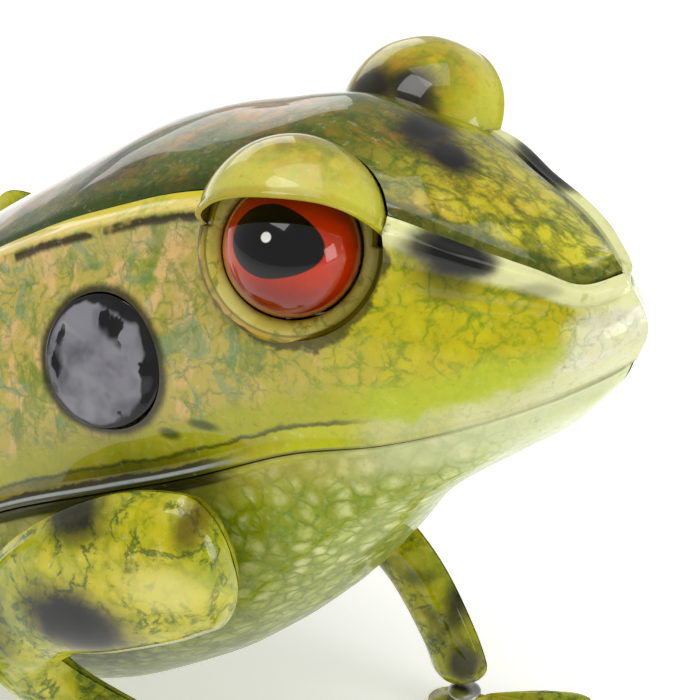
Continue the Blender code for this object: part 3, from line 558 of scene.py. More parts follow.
def make_side_paint():
    n, where = new_paint("yellow side enamel", 0.16)
    x, _, z = n.split(where)
    cells = n.cells(430.0, 0.13, 0.0035, 0.5)
    sponge = n.sponge(160.0, 0.04, 0.5)
    wide = n.sponge(75.0, 0.05, 0.45)
    # Behind the eye the ground is tan, in front of it chartreuse, and the snout fades to cream.
    wander = n.times(n.minus(wide["Patches"], 0.5), 0.006)
    moved = n.plus(x, wander)
    ahead = n.step(moved, at_x(-5.0), at_x(11.0))
    snout = n.step(
        n.plus(moved, n.times(z, -0.9)), at_x(19.0) - 0.9 * at_z(-13.0), at_x(28.0) - 0.9 * at_z(-11.0)
    )
    tall = n.stretched(where, (1.0, 1.0, 0.45))
    warm = n.step(n.noise(tall, 330.0, 4.0, 0.55, 0.3), 0.49, 0.61)
    tan = n.mix(n.times(warm, 0.85), (180, 166, 102), (214, 182, 136))
    lime = n.mix(n.times(wide["Patches"], 0.7), (176, 168, 36), (200, 186, 74))
    n.base = n.mix(ahead, tan, lime)
    n.lay((228, 228, 206), snout, 0.9)
    # Streaks of blue-green run down the side behind the eye.
    streak = n.noise(n.stretched(where, (1.0, 1.0, 0.32)), 300.0, 6.0, 0.68, 0.6)
    behind = n.fade(x, at_x(-2.0), at_x(9.0))
    n.lay((112, 128, 66), n.step(streak, 0.52, 0.62), behind, 0.7)
    cool = n.noise(n.vector("ADD", where, (1.3, 0.2, 0.9)), 260.0, 5.0, 0.7, 0.8)
    n.lay((120, 144, 112), n.step(cool, 0.52, 0.61), behind, 0.65)
    down = n.spot((-11.5, 20.5, -10.0), (3.5, 30.0, 13.0), 0.6)
    n.lay((74, 104, 38), down, n.step(streak, 0.34, 0.54), 0.85)
    n.lay((208, 204, 88), cells["Pale Heart"], ahead, 0.28)
    lines = n.times(cells["Lines"], n.linear(snout, -0.35, 0.62))
    n.lay(n.mix(behind, (108, 134, 34), (110, 124, 76)), lines)
    n.lay((92, 124, 34), sponge["Veins"], n.linear(snout, -0.4, 0.5))
    n.lay((70, 78, 24), sponge["Specks"], 0.16)
    # The rim under the back plate is left pale, with a broken brown line below it.
    v = n.distance_in("ridge")
    ragged = n.times(n.minus(n.noise(where, 430.0, 4.0, 0.6), 0.5), 0.03)
    narrow = n.step(x, at_x(-10.0), at_x(8.0), 1.75, 1.15)
    vr = n.plus(n.times(v, narrow), n.times(ragged, 0.5))
    rim = n.band(vr, -0.012, 0.0, 0.034, 0.046)
    rim_rear = n.mix(n.step(vr, 0.006, 0.02), (206, 190, 40), (226, 208, 140))
    rim_tone = n.mix(n.step(x, at_x(-8.0), at_x(6.0)), rim_rear, (222, 223, 176))
    n.lay(rim_tone, rim, 0.9)
    n.lay((150, 160, 44), rim, n.step(n.noise(where, 240.0, 4.0), 0.56, 0.66), 0.6)
    under = n.band(vr, 0.042, 0.05, 0.058, 0.068)
    under = n.times(under, n.step(n.noise(where, 160.0, 3.0), 0.44, 0.52))
    n.lay((50, 42, 18), under, n.step(x, at_x(-8.0), at_x(2.0), 0.95, 0.12))
    groove = n.fade(vr, -0.02, -0.004)
    n.lay((30, 46, 14), groove, 0.85)
    # Above the mouth and the seam runs a ragged yellow-green band, with the lip left pale.
    vs = n.distance_in("seam")
    wavy = n.times(n.minus(n.noise(where, 300.0, 5.0, 0.65), 0.5), 0.06)
    vm = n.plus(vs, wavy)
    forward = n.step(x, at_x(6.0), at_x(12.0))
    n.lay((206, 208, 160), n.fade(vm, 0.03, 0.045), forward, 0.6)
    band = n.band(vm, 0.02, 0.035, 0.055, 0.085)
    band = n.times(band, n.linear(snout, -0.8, 0.8))
    n.lay(n.mix(forward, (166, 166, 44), (176, 186, 48)), band)
    back = n.rest(forward)
    hem_tone = n.mix(n.step(x, at_x(-14.0), at_x(2.0)), (104, 104, 34), (184, 186, 48))
    hem_tone = n.mix(n.times(sponge["Patches"], 0.5), hem_tone, (150, 130, 40))
    vh = n.linear(wavy, 0.26, vs)
    n.lay(hem_tone, n.fade(vh, 0.026, 0.031), back, 0.9)
    # Its ragged upper line, then painted shade along the groove and a painted highlight, a pale grey strip
    # beside the seam.
    line = n.band(vh, 0.026, 0.029, 0.030, 0.035)
    n.lay((56, 68, 22), line, back, 0.8)
    rear = n.fade(x, at_x(-9.0), at_x(-1.0))
    n.lay((38, 34, 20), n.fade(vh, 0.014, 0.017), rear, 0.92)
    flange_highlight = n.band(vs, 0.004, 0.006, 0.0085, 0.0105)
    n.lay((176, 182, 180), flange_highlight, rear, 0.85)
    mouth = n.fade(vs, 0.001, 0.004)
    n.lay((84, 88, 44), mouth, n.linear(forward, -0.35, 0.75))
    places = both_sides([
        ((16.6, 11.2, -0.3), (3.8, 3.2, 2.3), 0.4, 1.0),
        ((14.0, 12.4, 0.5), (2.6, 2.6, 1.5), 0.5, 0.9),
        ((18.8, 10.4, -1.0), (1.9, 2.2, 1.4), 0.5, 0.8),
        ((16.2, 12.6, -2.6), (3.4, 2.6, 2.2), 0.75, 0.7),
        ((24.0, 8.0, -4.0), (2.8, 1.4, 1.0), 0.5, 0.4),
        ((-46.0, 20.0, -26.0), (5.0, 6.0, 4.0), 0.5, 0.9),
        ((-58.0, 20.0, -44.0), (6.0, 6.0, 5.0), 0.5, 0.9),
        ((-38.0, 22.0, -20.0), (3.0, 6.0, 2.5), 0.5, 0.7),
    ])
    n.mottle(0.6)
    n.spots(BLACK_PAINT, places)
    n.spots(DARK_GREEN, both_sides([
        ((-11.5, 21.0, -24.0), (1.3, 2.0, 0.7), 0.5, 0.8),
        ((-7.5, 20.5, -22.0), (1.8, 2.0, 0.6), 0.5, 0.8),
    ]))
    ears, eyes = [], []
    for side, _ in SIDES:
        ear = n.vector("DISTANCE", where, world(mirrored(EAR, side)))
        ears.append(n.fade(n.plus(ear, n.times(ragged, 0.02)), (EAR_R + 0.7) * MM, (EAR_R + 1.7) * MM))
        eye = n.vector("DISTANCE", where, world(mirrored(BALL, side)))
        eyes.append(n.fade(n.plus(eye, n.times(ragged, 0.12)), EYE_OPENING * MM, (EYE_OPENING + 0.7) * MM))
    n.lay((40, 36, 22), n.math("MAXIMUM", *ears), 0.9)
    n.lay((66, 62, 24), n.math("MAXIMUM", *eyes), 0.85)
    return n.finish()


def make_belly_paint():
    n, where = new_paint("pale belly enamel", 0.28, coat=0.5)
    x, _, z = n.split(where)
    cells = n.cells(420.0, 0.13, 0.0026, 0.42)
    small = n.cells(820.0, 0.16, 0.0018, 0.5)
    sponge = n.sponge(120.0, 0.04, 0.5)
    chin = n.step(x, at_x(13.0), at_x(27.0))
    # Painted shade: the belly's colours, lines and veins are made darker towards its underside.
    low = n.fade(z, at_z(-58.0), at_z(-34.0))
    n.base = n.mix(low, (130, 138, 38), (80, 86, 24))
    n.lay((210, 218, 190), chin, 0.9)
    n.lay(n.mix(chin, (160, 168, 66), (216, 220, 184)), sponge["Patches"], 0.55)
    heart = n.times(cells["Pale Heart"], n.linear(low, -0.45, 0.78))
    n.lay(n.mix(cells["Cell Tone"], (218, 220, 172), (168, 178, 100)), heart)
    n.lay((206, 208, 158), small["Pale Heart"], 0.22)
    faint = n.linear(chin, -0.6, 0.72)
    n.lay(n.mix(low, (98, 122, 30), (64, 78, 20)), cells["Lines"], faint)
    n.lay((140, 154, 64), small["Lines"], faint, 0.7)
    n.lay((70, 86, 30), sponge["Veins"], low, 0.5)
    v = n.distance_in("seam")
    ragged = n.times(n.minus(n.noise(where, 360.0, 5.0, 0.65), 0.5), 0.05)
    near = n.fade(n.plus(v, ragged), 0.02, 0.07)
    forward = n.step(x, at_x(4.0), at_x(14.0))
    n.lay(n.mix(forward, (190, 178, 108), (214, 218, 178)), near, n.linear(forward, 0.1, 0.5))
    mouth = n.fade(v, 0.001, 0.004)
    n.lay((100, 102, 52), mouth, 0.35)
    # Painted shade: a dark brown strip along the seam at the rear, where the belly's edge lies under the
    # side's flange.
    n.lay((34, 32, 18), n.fade(v, 0.016, 0.022), n.fade(x, at_x(-7.0), at_x(-2.0)), 0.9)
    n.mottle(0.5)
    n.spots(BLACK_PAINT, both_sides([
        ((-36.0, 22.0, -66.0), (6.0, 5.0, 5.0), 0.6, 0.7),
        ((-56.0, 19.0, -70.0), (6.0, 5.0, 4.0), 0.6, 0.6),
    ]))
    # Painted shade: a soft dark olive patch on the belly beside the shoulder.
    n.spots((58, 62, 24), both_sides([
        ((-10.0, 20.0, -42.0), (10.0, 8.0, 10.0), 0.9, 0.5),
    ]))
    return n.finish()


def make_lid_paint():
    n, where = new_paint("yellow eyelid enamel", 0.14)
    cells = n.cells(430.0, 0.13, 0.003, 0.52)
    sponge = n.sponge(190.0, 0.04, 0.5)
    x, _, z = n.split(where)
    n.base = n.mix(n.times(sponge["Patches"], 0.8), (160, 148, 20), (180, 162, 44))
    top = n.step(z, at_z(4.0), at_z(9.2))
    n.lay((156, 122, 48), top, n.step(n.noise(where, 210.0, 4.0), 0.44, 0.6), 0.75)
    n.lay((98, 104, 50), top, n.step(n.noise(where, 330.0, 5.0), 0.5, 0.62), 0.5)
    n.lay((122, 146, 24), cells["Lines"], 0.5)
    n.lay((96, 122, 30), sponge["Veins"], 0.6)
    n.lay((86, 84, 30), sponge["Specks"], 0.2)
    v = n.distance_in("lip")
    ragged = n.times(n.minus(n.noise(where, 500.0, 4.0), 0.5), 0.05)
    near = n.fade(n.plus(v, ragged), 0.02, 0.08)
    n.lay((214, 210, 130), near, 0.5)
    edge = n.fade(v, 0.006, 0.014)
    n.lay((150, 138, 62), edge, 0.6)
    fore = n.step(x, at_x(4.0), at_x(9.0))
    n.lay((190, 196, 60), fore, 0.35)
    n.mottle(0.55)
    n.spots(BLACK_PAINT, [
        ((-3.6, 8.4, 6.0), (3.6, 3.0, 3.0), 0.5, 0.97),
        ((1.4, 8.6, 6.9), (2.6, 2.6, 2.4), 0.45, 0.97),
        ((3.4, 7.8, 5.0), (1.6, 2.0, 1.6), 0.5, 0.8),
        ((-7.5, -9.0, 4.0), (3.0, 3.0, 3.0), 0.6, 0.6),
    ])
    return n.finish()


def make_leg_paint(name, dark):
    n, where = new_paint(name, 0.13)
    cells = n.cells(360.0, 0.18, 0.003, 0.48)
    sponge = n.sponge(180.0, 0.05, 0.48)
    wide = n.sponge(70.0, 0.06, 0.45)
    n.base = n.mix(n.times(wide["Patches"], 0.8), (168, 166, 38), (198, 186, 70))
    n.lay((132, 146, 44), sponge["Patches"], 0.6)
    n.lay((204, 200, 120), cells["Pale Heart"], 0.25)
    n.lay((84, 110, 30), cells["Lines"], 0.35)
    n.lay((46, 78, 30), sponge["Veins"], 0.8)
    n.lay((40, 52, 18), sponge["Specks"], 0.4)
    blot = n.noise(n.vector("ADD", where, (0.31, 0.52, 0.13)), 52.0, 2.0, 0.45, 0.3)
    n.lay(BLACK_PAINT, n.step(blot, 0.58 - dark, 0.68 - dark), 0.97)
    n.mottle(0.7)
    n.spots(BLACK_PAINT, both_sides([
        ((-17.3, 30.0, -43.6), (7.2, 9.0, 5.0), 0.42, 1.0),
        ((-20.5, 31.0, -31.0), (6.4, 9.0, 3.2), 0.45, 0.95),
        ((-31.0, 27.0, -48.0), (5.0, 9.0, 6.0), 0.5, 0.9),
        ((3.8, 19.0, -66.0), (2.0, 3.2, 5.2), 0.5, 1.0),
        ((5.4, 18.0, -76.0), (2.2, 3.4, 3.0), 0.5, 0.9),
        ((-70.0, 33.0, -50.0), (6.0, 9.0, 7.0), 0.5, 0.9),
        ((-62.0, 33.0, -62.0), (5.0, 9.0, 4.5), 0.5, 0.85),
    ]))
    # Painted highlight: a pale cream patch on each shoulder.
    n.spots((226, 220, 150), both_sides([
        ((-6.2, 31.0, -36.5), (4.2, 6.0, 2.4), 0.6, 0.6),
    ]))
    n.spots((74, 60, 22), both_sides([
        ((-4.6, 29.0, -29.0), (1.5, 5.0, 2.6), 0.7, 0.8),
    ]))
    return n.finish()


def make_eye_paint(side):
    n, where = new_paint("red eye enamel " + ("left" if side > 0 else "right"), 0.05, 0.15)
    local = n.vector("SUBTRACT", where, world(mirrored(BALL, side)))
    gaze = np.array(mirrored(GAZE, side)) / np.linalg.norm(GAZE)
    level = np.cross((0, 0, 1), gaze) * side * -1
    level = level / np.linalg.norm(level)
    high = np.cross(level, gaze) * side
    high = high / np.linalg.norm(high) * (1 if high[2] > 0 else -1)
    forward = n.vector("DOT_PRODUCT", local, tuple(level if level[0] > 0 else -level))
    upward = n.vector("DOT_PRODUCT", local, tuple(high))
    toward = n.vector("DOT_PRODUCT", local, tuple(gaze))
    # Round behind, drawn to a soft point in front.
    blunt = n.math("POWER", n.math("ABSOLUTE", n.math("DIVIDE", forward, 4.1 * MM)), 2.0)
    point = n.math("POWER", n.math("ABSOLUTE", n.math("DIVIDE", forward, 5.3 * MM)), 1.6)
    ahead = n.math("GREATER_THAN", forward, 0.0)
    reach = n.plus(n.times(blunt, n.rest(ahead)), n.times(point, ahead))
    tall = n.math("POWER", n.math("ABSOLUTE", n.math("DIVIDE", upward, 3.7 * MM)), 2.0)
    inside = n.fade(n.plus(reach, tall), 0.97, 1.03)
    pupil = n.times(inside, n.math("GREATER_THAN", toward, 0.0))
    streak = n.noise(where, 380.0, 4.0, 0.6)
    # Painted shade: the red is darkened towards the ball's edge, where it sinks into the socket, and
    # towards its bottom.
    rim = n.fade(toward, 0.5 * MM, 5.0 * MM)
    n.base = n.mix(n.times(n.step(streak, 0.45, 0.65), 0.35), (178, 72, 44), (190, 90, 56))
    n.lay((116, 46, 18), rim, 0.55)
    painted_shade_below = n.fade(upward, -6.0 * MM, -1.5 * MM)
    n.lay((88, 34, 8), painted_shade_below, 0.75)
    n.lay((14, 11, 10), pupil)
    dot = n.vector(
        "ADD",
        n.vector("SCALE", tuple(gaze), scale=6.95 * MM),
        tuple((level if level[0] > 0 else -level) * -0.1 * MM + high * 0.25 * MM),
    )
    spot = n.fade(n.vector("DISTANCE", local, dot), 0.45 * MM, 0.6 * MM)
    n.lay((240, 240, 236), spot)
    return n.finish()


def make_socket_paint():
    n, where = new_paint("cream socket enamel", 0.2)
    sponge = n.sponge(260.0, 0.05, 0.5)
    v = n.distance_in("lip")
    n.base = n.mix(n.times(sponge["Patches"], 0.7), (184, 170, 96), (204, 196, 132))
    n.lay((166, 136, 54), n.step(v, 0.62, 0.70), 0.8)
    # Painted shade: a dark olive line stands for the shade of a groove between the pale inner ring and the
    # tan outer ring.
    line = n.band(v, 0.56, 0.62, 0.66, 0.72)
    n.lay((86, 84, 34), line, 0.7)
    outer = n.step(n.plus(v, n.times(n.noise(where, 420.0, 4.0), 0.5)), 1.08, 1.2)
    n.lay((56, 50, 24), outer, 0.85)
    n.lay((98, 102, 46), sponge["Veins"], 0.7)
    rear = n.fade(n.split(where)[0], at_x(-10.0), at_x(-5.5))
    stained = n.step(n.noise(where, 330.0, 5.0, 0.65), 0.42, 0.56)
    n.lay((84, 80, 34), rear, stained, 0.8)
    return n.finish()


def make_ear_paint():
    n, where = new_paint("dark ear enamel", 0.1, 2.0)
    drip = n.noise(n.stretched(where, (1.0, 1.0, 0.55)), 300.0, 3.0, 0.5)
    # The disc's grey is its own dark enamel, lightened by a painted reflection.
    n.base = n.mix(n.step(n.noise(where, 170.0, 3.0), 0.4, 0.62), (94, 93, 98), (132, 131, 136))
    crescents = []
    for side in (1, -1):
        centre = world((EAR[0] - 0.8, EAR[1] * side, EAR[2] - 0.45))
        away = n.vector("DISTANCE", where, centre)
        crescents.append(n.plus(away, n.times(drip, 0.003)))
    tongues = n.times(n.step(drip, 0.56, 0.59), n.step(n.math("MINIMUM", *crescents), 0.0056, 0.0066))
    n.lay((18, 17, 17), tongues)
    crescent = n.step(n.math("MINIMUM", *crescents), 0.0077, 0.0082)
    n.lay((15, 14, 13), crescent, 0.97)
    v = n.distance_in("lip")
    rim = n.step(n.plus(v, n.times(drip, 0.08)), 0.96, 1.02)
    n.lay((22, 20, 17), rim)
    return n.finish()


def make_metal(name, tint, worn, rough, grain):
    """Plain metal with a drawn or stamped grain, and oil stains that are darker and duller."""
    n = Material(name)
    lines = n.noise(n.stretched(n.where, grain), 2600.0, 3.0, 0.6)
    stain = n.noise(n.where, 240.0, 5.0, 0.62)
    n.base = n.mix(n.step(stain, 0.42, 0.68), tint, worn)
    n.lay(worn, n.step(lines, 0.45, 0.7), 0.25)
    n.raised(lines, 0.2, 0.0002)
    n.set(Metallic=1.0)
    return n.finish(n.linear(stain, 0.25, rough))


BACK_PAINT = make_back_paint()
SIDE_PAINT = make_side_paint()
BELLY_PAINT = make_belly_paint()
LID_PAINT = make_lid_paint()
FORELEG_PAINT = make_leg_paint("speckled foreleg enamel", 0.0)
HIND_PAINT = make_leg_paint("spotted hind leg enamel", 0.03)
FOOT_PAINT = make_leg_paint("speckled foot enamel", -0.05)
SOCKET_PAINT = make_socket_paint()
EAR_PAINT = make_ear_paint()
TINNED = make_metal("tinned steel", (190, 190, 184), (140, 140, 134), 0.22, (1.0, 1.0, 0.1))
STEEL = make_metal("drawn steel", (178, 176, 170), (118, 116, 110), 0.2, (1.0, 0.1, 1.0))
BRASS = make_metal("stamped brass", (206, 168, 88), (150, 116, 56), 0.2, (0.1, 1.0, 1.0))
BLUED = make_metal("blued spring steel", (86, 98, 124), (60, 62, 70), 0.22, (1.0, 0.1, 1.0))


# ------------------------------------------------------------------ the body's form
def curve(points, where):
    last = len(points) - 1
    step = min(max(int(floor(where)), 0), last - 1)
    part = where - step
    before = points[step - 1] if step > 0 else 2 * points[0] - points[1]
    after = points[step + 2] if step + 2 <= last else 2 * points[last] - points[last - 1]
    a, b, c, d = before, points[step], points[step + 1], after
    square = 2 * a - 5 * b + 4 * c - d
    cube = 3 * b - a - 3 * c + d
    return 0.5 * (2 * b + (c - a) * part + square * part**2 + cube * part**3)


def make_rails():
    rails = []
    for k in range(6):
        row = [station[k] for station in STATIONS]
        rails.append(np.array([(p[0], 0.0, p[1]) if len(p) == 2 else p for p in row], float))
    return rails


RAILS = make_rails()


def station(along, kept={}):
    """The six rail points at one place along the body."""
    if along not in kept:
        if len(kept) > 4000:
            kept.clear()
        kept[along] = [curve(rail, along) for rail in RAILS]
    return kept[along]


def body(along, around):
    """Left half of the skin: around is -1 on the crown, 0 on the ridge, 2 on the seam, 4 below."""
    crown, ridge, cheek, seam, flank, belly = station(along)
    if around < 0:
        across = 1.0 + around
        x = crown[0] + (ridge[0] - crown[0]) * across**2
        z = crown[2] + (ridge[2] - crown[2]) * across**2
        return np.array([x, ridge[1] * across, z])
    mirror = np.array([flank[0], -flank[1], flank[2]])
    return curve([ridge, cheek, seam, flank, belly, mirror], around) if around < 4 else belly


def skin(along, around):
    if around < -1:
        return body(along, -2.0 - around) * np.array([1.0, -1.0, 1.0])
    if around > 4:
        return body(along, 8.0 - around) * np.array([1.0, -1.0, 1.0])
    return body(along, around)


def outward(along, around):
    step = 0.04
    low, high = max(along - step, 0.0), min(along + step, LAST)
    u = skin(high, around) - skin(low, around)
    w = skin(along, around + step) - skin(along, around - step)
    n = np.cross(u, w)
    n = n / max(np.linalg.norm(n), 1e-9)
    middle = 0.5 * (skin(along, -1.0) + skin(along, 4.0))
    return -n if np.dot(n, middle - skin(along, around)) > 0 else n


def ease(value, low, high):
    t = min(max((value - low) / (high - low), 0.0), 1.0)
    return t * t * (3 - 2 * t)


def wobble(p, pitch, depth):
    """Slow hand-beaten unevenness."""
    return noise.noise(Vector((p[0], p[1] + 40.0, p[2])) / pitch) * depth


SHARP = radians(38.0)


def make_mesh(title, points, faces, paint, uvs=None):
    name = title.replace(" ", "_")
    mesh = bpy.data.meshes.new(name)
    mesh.from_pydata([world(p) for p in points], [], faces)
    for label, values in (uvs or {}).items():
        layer = mesh.uv_layers.new(name=label)
        for loop in mesh.loops:
            layer.data[loop.index].uv = values[loop.vertex_index]
    work = bmesh.new()
    work.from_mesh(mesh)
    bmesh.ops.recalc_face_normals(work, faces=work.faces)
    work.to_mesh(mesh)
    work.free()
    mesh.polygons.foreach_set("use_smooth", [True] * len(mesh.polygons))
    mesh.set_sharp_from_angle(angle=SHARP)
    mesh.materials.append(paint)
    item = bpy.data.objects.new(name, mesh)
    bpy.context.scene.collection.objects.link(item)
    return item


def stand_for(item, body_name, *nodes):
    """The piece moves with a body and takes the place of its nodes."""
    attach(item, body_name)
    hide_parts(*nodes)


def discard(items):
    for item in items:
        mesh = item.data
        bpy.data.objects.remove(item)
        bpy.data.meshes.remove(mesh)


def settle(item):
    """Keeps what the modifiers make as plain mesh."""
    bpy.context.view_layer.update()
    graph = bpy.context.evaluated_depsgraph_get()
    made = bpy.data.meshes.new_from_object(
        item.evaluated_get(graph), preserve_all_data_layers=True, depsgraph=graph
    )
    item.modifiers.clear()
    old = item.data
    item.data = made
    bpy.data.meshes.remove(old)
    made.polygons.foreach_set("use_smooth", [True] * len(made.polygons))
    made.set_sharp_from_angle(angle=SHARP)


def trim(item, tools):
    for tool in tools:
        modifier = item.modifiers.new(tool.name, "BOOLEAN")
        modifier.operation = "DIFFERENCE"
        modifier.solver = "EXACT"
        modifier.object = tool
    settle(item)


def axes_of(direction):
    n = np.array(direction, float)
    n = n / np.linalg.norm(n)
    a = np.cross(n, [0.0, 0.0, 1.0])
    if np.linalg.norm(a) < 1e-6:
        a = np.array([1.0, 0.0, 0.0])
    a = a / np.linalg.norm(a)
    return n, a, np.cross(n, a)


def turned(centre, direction, profile, sides=96, rise=None):
    """A profile of (radius, height) pairs turned about an axis. rise(angle, row) lifts a ring point."""
    n, a, b = axes_of(direction)
    centre = np.array(centre, float)
    points, faces, rings = [], [], []
    for row, (radius, height) in enumerate(profile):
        if radius == 0:
            rings.append([len(points)])
            points.append(centre + n * height)
            continue
        rings.append(list(range(len(points), len(points) + sides)))
        for k in range(sides):
            angle = 2 * pi * k / sides
            up = height + (rise(angle, row) if rise else 0.0)
            points.append(centre + n * up + radius * (cos(angle) * a + sin(angle) * b))
    closed = profile[0][0] > 0
    pairs = list(zip(rings, rings[1:] + rings[:1])) if closed else list(zip(rings, rings[1:]))
    for low, high in pairs:
        for k in range(sides):
            m = (k + 1) % sides
            if len(low) == 1:
                faces.append([low[0], high[k], high[m]])
            elif len(high) == 1:
                faces.append([low[k], high[0], low[m]])
            else:
                faces.append([low[k], high[k], high[m], low[m]])
    return points, faces


def grid(rows, columns, start=0, closed=False):
    """Four-sided faces between rows of points. A closed row joins its last point to its first."""
    faces = []
    for i in range(rows - 1):
        for j in range(columns if closed else columns - 1):
            a, b = start + i * columns + j, start + i * columns + (j + 1) % columns
            faces.append([a, b, b + columns, a + columns])
    return faces


def flip(points, side):
    return [(p[0], p[1] * side, p[2]) for p in points]


def sheet_of_skin(name, alongs, arounds, side, paint, push, measures, keep_left=False):
    """A pressed sheet of the skin, pushed out by push(along, around). Distances are kept as UVs."""
    rows, columns = len(alongs), len(arounds)
    outer, inner, uvs = [], [], {label: [] for label in measures}
    for along in alongs:
        line = []
        for around in arounds:
            p = skin(along, around)
            inset = min(max(along, 0.35), LAST - 0.3)
            n = outward(inset, around)
            q = skin(inset, around) - n * TIN
            lift = push(along, around) + wobble(p, 9.0, 0.16) + wobble(p, 3.2, 0.05)
            p = p + n * lift
            q = q + n * lift
            if keep_left:
                p[1] = max(p[1], CUT_GAP)
                q[1] = max(q[1], CUT_GAP)
            line.append(p)
            outer.append(p)
            inner.append(q)
        run = [0.0]
        for a, b in zip(line, line[1:]):
            run.append(run[-1] + float(np.linalg.norm(b - a)))
        for label, measure in measures.items():
            start = float(np.interp(measure, arounds, run))
            way = 1.0 if measure <= arounds[0] + (arounds[-1] - arounds[0]) / 2 else -1.0
            both = not keep_left
            for r in run:
                v = min(r, run[-1] - r) if both else (r - start) * way
                uvs[label].append((along / LAST, v / UV_SPAN))
    base = rows * columns
    faces = grid(rows, columns) + [face[::-1] for face in grid(rows, columns, base)]
    loop = list(range(columns))
    loop += [i * columns + columns - 1 for i in range(1, rows)]
    loop += [(rows - 1) * columns + j for j in range(columns - 2, -1, -1)]
    loop += [i * columns for i in range(rows - 2, 0, -1)]
    for a, b in zip(loop, loop[1:] + loop[:1]):
        faces.append([b, a, base + a, base + b])
    for label in uvs:
        uvs[label] = uvs[label] * 2
    return make_mesh(name, flip(outer + inner, side), faces, paint, uvs)


def spaced(low, high, count, crowd_low=0.0, crowd_high=0.0):
    """Even steps, drawn closer together at either end on request."""
    values = []
    for k in range(count + 1):
        t = k / count
        t = t - crowd_low * sin(pi * t) * (1 - t) * 0.6 + crowd_high * sin(pi * t) * t * 0.6
        values.append(low + (high - low) * t)
    return values


def crown_push(along, around):
    across = 1.0 - abs(around + 1.0)
    edge = min(abs(around + 1.85), abs(around + 0.15))
    roll = -0.35 * (1.0 - ease(edge, 0.0, 0.07))
    hollow = -0.35 * exp(-((along - 5.2) / 1.4) ** 2) * max(across, 0.0)
    return roll + hollow


def side_push(along, around):
    """Raised rim along the top, a groove under it, and a lip or flange along the seam."""
    ends = ease(along, 0.0, 0.5) * (1.0 - ease(along, 11.4, 12.0))
    rim = 0.75 * exp(-(((around - 0.03) / 0.10) ** 2)) - 0.3 * exp(-(((around - 0.24) / 0.06) ** 2))
    hem = ease(around, 1.90, 1.97) * (0.28 + 0.75 * ease(along, MOUTH_CORNER - 0.3, 5.6))
    crease = -0.55 * exp(
        -(((around - 0.42 - 0.05 * (along - 2.4)) / 0.10) ** 2)
    ) * ease(along, 1.2, 2.0) * (1 - ease(along, 3.2, 4.0))
    return (rim + crease) * ends + hem * ends


def belly_push(along, around):
    ends = ease(along, 0.0, 0.5) * (1.0 - ease(along, 11.4, 12.0))
    near = min(around - 2.0, 6.0 - around)
    hem = (1.0 - ease(near, 0.03, 0.12)) * (0.1 + 0.95 * ease(along, MOUTH_CORNER - 0.3, 5.6))
    return hem * ends


def cutter(name, shape, side):
    return make_mesh(name, flip(shape[0], side), shape[1], SIDE_PAINT)


def build_body():
    tools = {}
    for side, word in SIDES:
        r = EYE_OPENING
        globe = [(0, -r)] + [(r * cos(t), r * sin(t)) for t in np.linspace(-1.45, 1.45, 40)] + [(0, r)]
        tools["dome", word] = cutter("dome hole " + word, turned(DOME, SOCKET_AXIS, globe, 96), side)
        well = [(0, -3), (9.3, -3), (9.3, 5), (0, 5)]
        tools["socket", word] = cutter("socket hole " + word, turned(BALL, SOCKET_AXIS, well, 96), side)
        gap = [(0, -4), (EAR_R + 0.35, -4), (EAR_R + 0.35, 5), (0, 5)]
        tools["ear", word] = cutter("ear hole " + word, turned(EAR, EAR_AXIS, gap, 96), side)
        hip = [(0, 12), (3.2, 12), (3.2, 27), (0, 27)]
        tools["hip", word] = cutter("hip hole " + word, turned(HIP_AXLE, (0, 1, 0), hip, 48), side)
    key = [(0, 12), (3.6, 12), (3.6, 30), (0, 30)]
    tools["key", "left"] = cutter("key hole", turned(KEY_AXLE, (0, 1, 0), key, 48), 1)

    alongs = [0.01] + spaced(0.12, 11.7, 156, 0.5) + [11.9]
    arounds = spaced(-1.85, -0.15, 84)
    back = sheet_of_skin("crown and back", alongs, arounds, 1, BACK_PAINT, crown_push, {"edge": -1.85})
    trim(
        back,
        [tools["dome", "left"], tools["dome", "right"], tools["socket", "left"], tools["socket", "right"]],
    )
    stand_for(back, "frame", "back_plate")
    side_around = spaced(-0.125, 0.36, 24) + spaced(0.4, 1.86, 44) + spaced(1.885, 1.992, 8)
    for side, word in SIDES:
        alongs = [0.0] + spaced(0.05, 11.85, 170, 0.6) + [12.0]
        shell = sheet_of_skin(
            word + " side", alongs, side_around, side, SIDE_PAINT, side_push, {
                "ridge": -0.11, "seam": 1.992
            }, True
        )
        words = ["dome", "socket", "ear"] + (["key"] if side > 0 else [])
        trim(shell, [tools[w, word] for w in words])
        for vertex in shell.data.vertices:
            if abs(vertex.co.y) < (CUT_GAP + 0.01) * MM:
                vertex.co.y = side * SEAM_GAP * MM
        stand_for(shell, "frame", "side_shell_" + word)
    alongs = [0.12] + spaced(0.2, 11.8, 150, 0.4) + [11.96]
    arounds = spaced(2.008, 2.14, 8) + spaced(2.18, 5.82, 100) + spaced(5.86, 5.992, 8)
    belly = sheet_of_skin("throat and belly", alongs, arounds, 1, BELLY_PAINT, belly_push, {"seam": 2.008})
    trim(belly, [tools["hip", "left"], tools["hip", "right"]])
    stand_for(belly, "frame", "belly_shell")
    discard(tools.values())


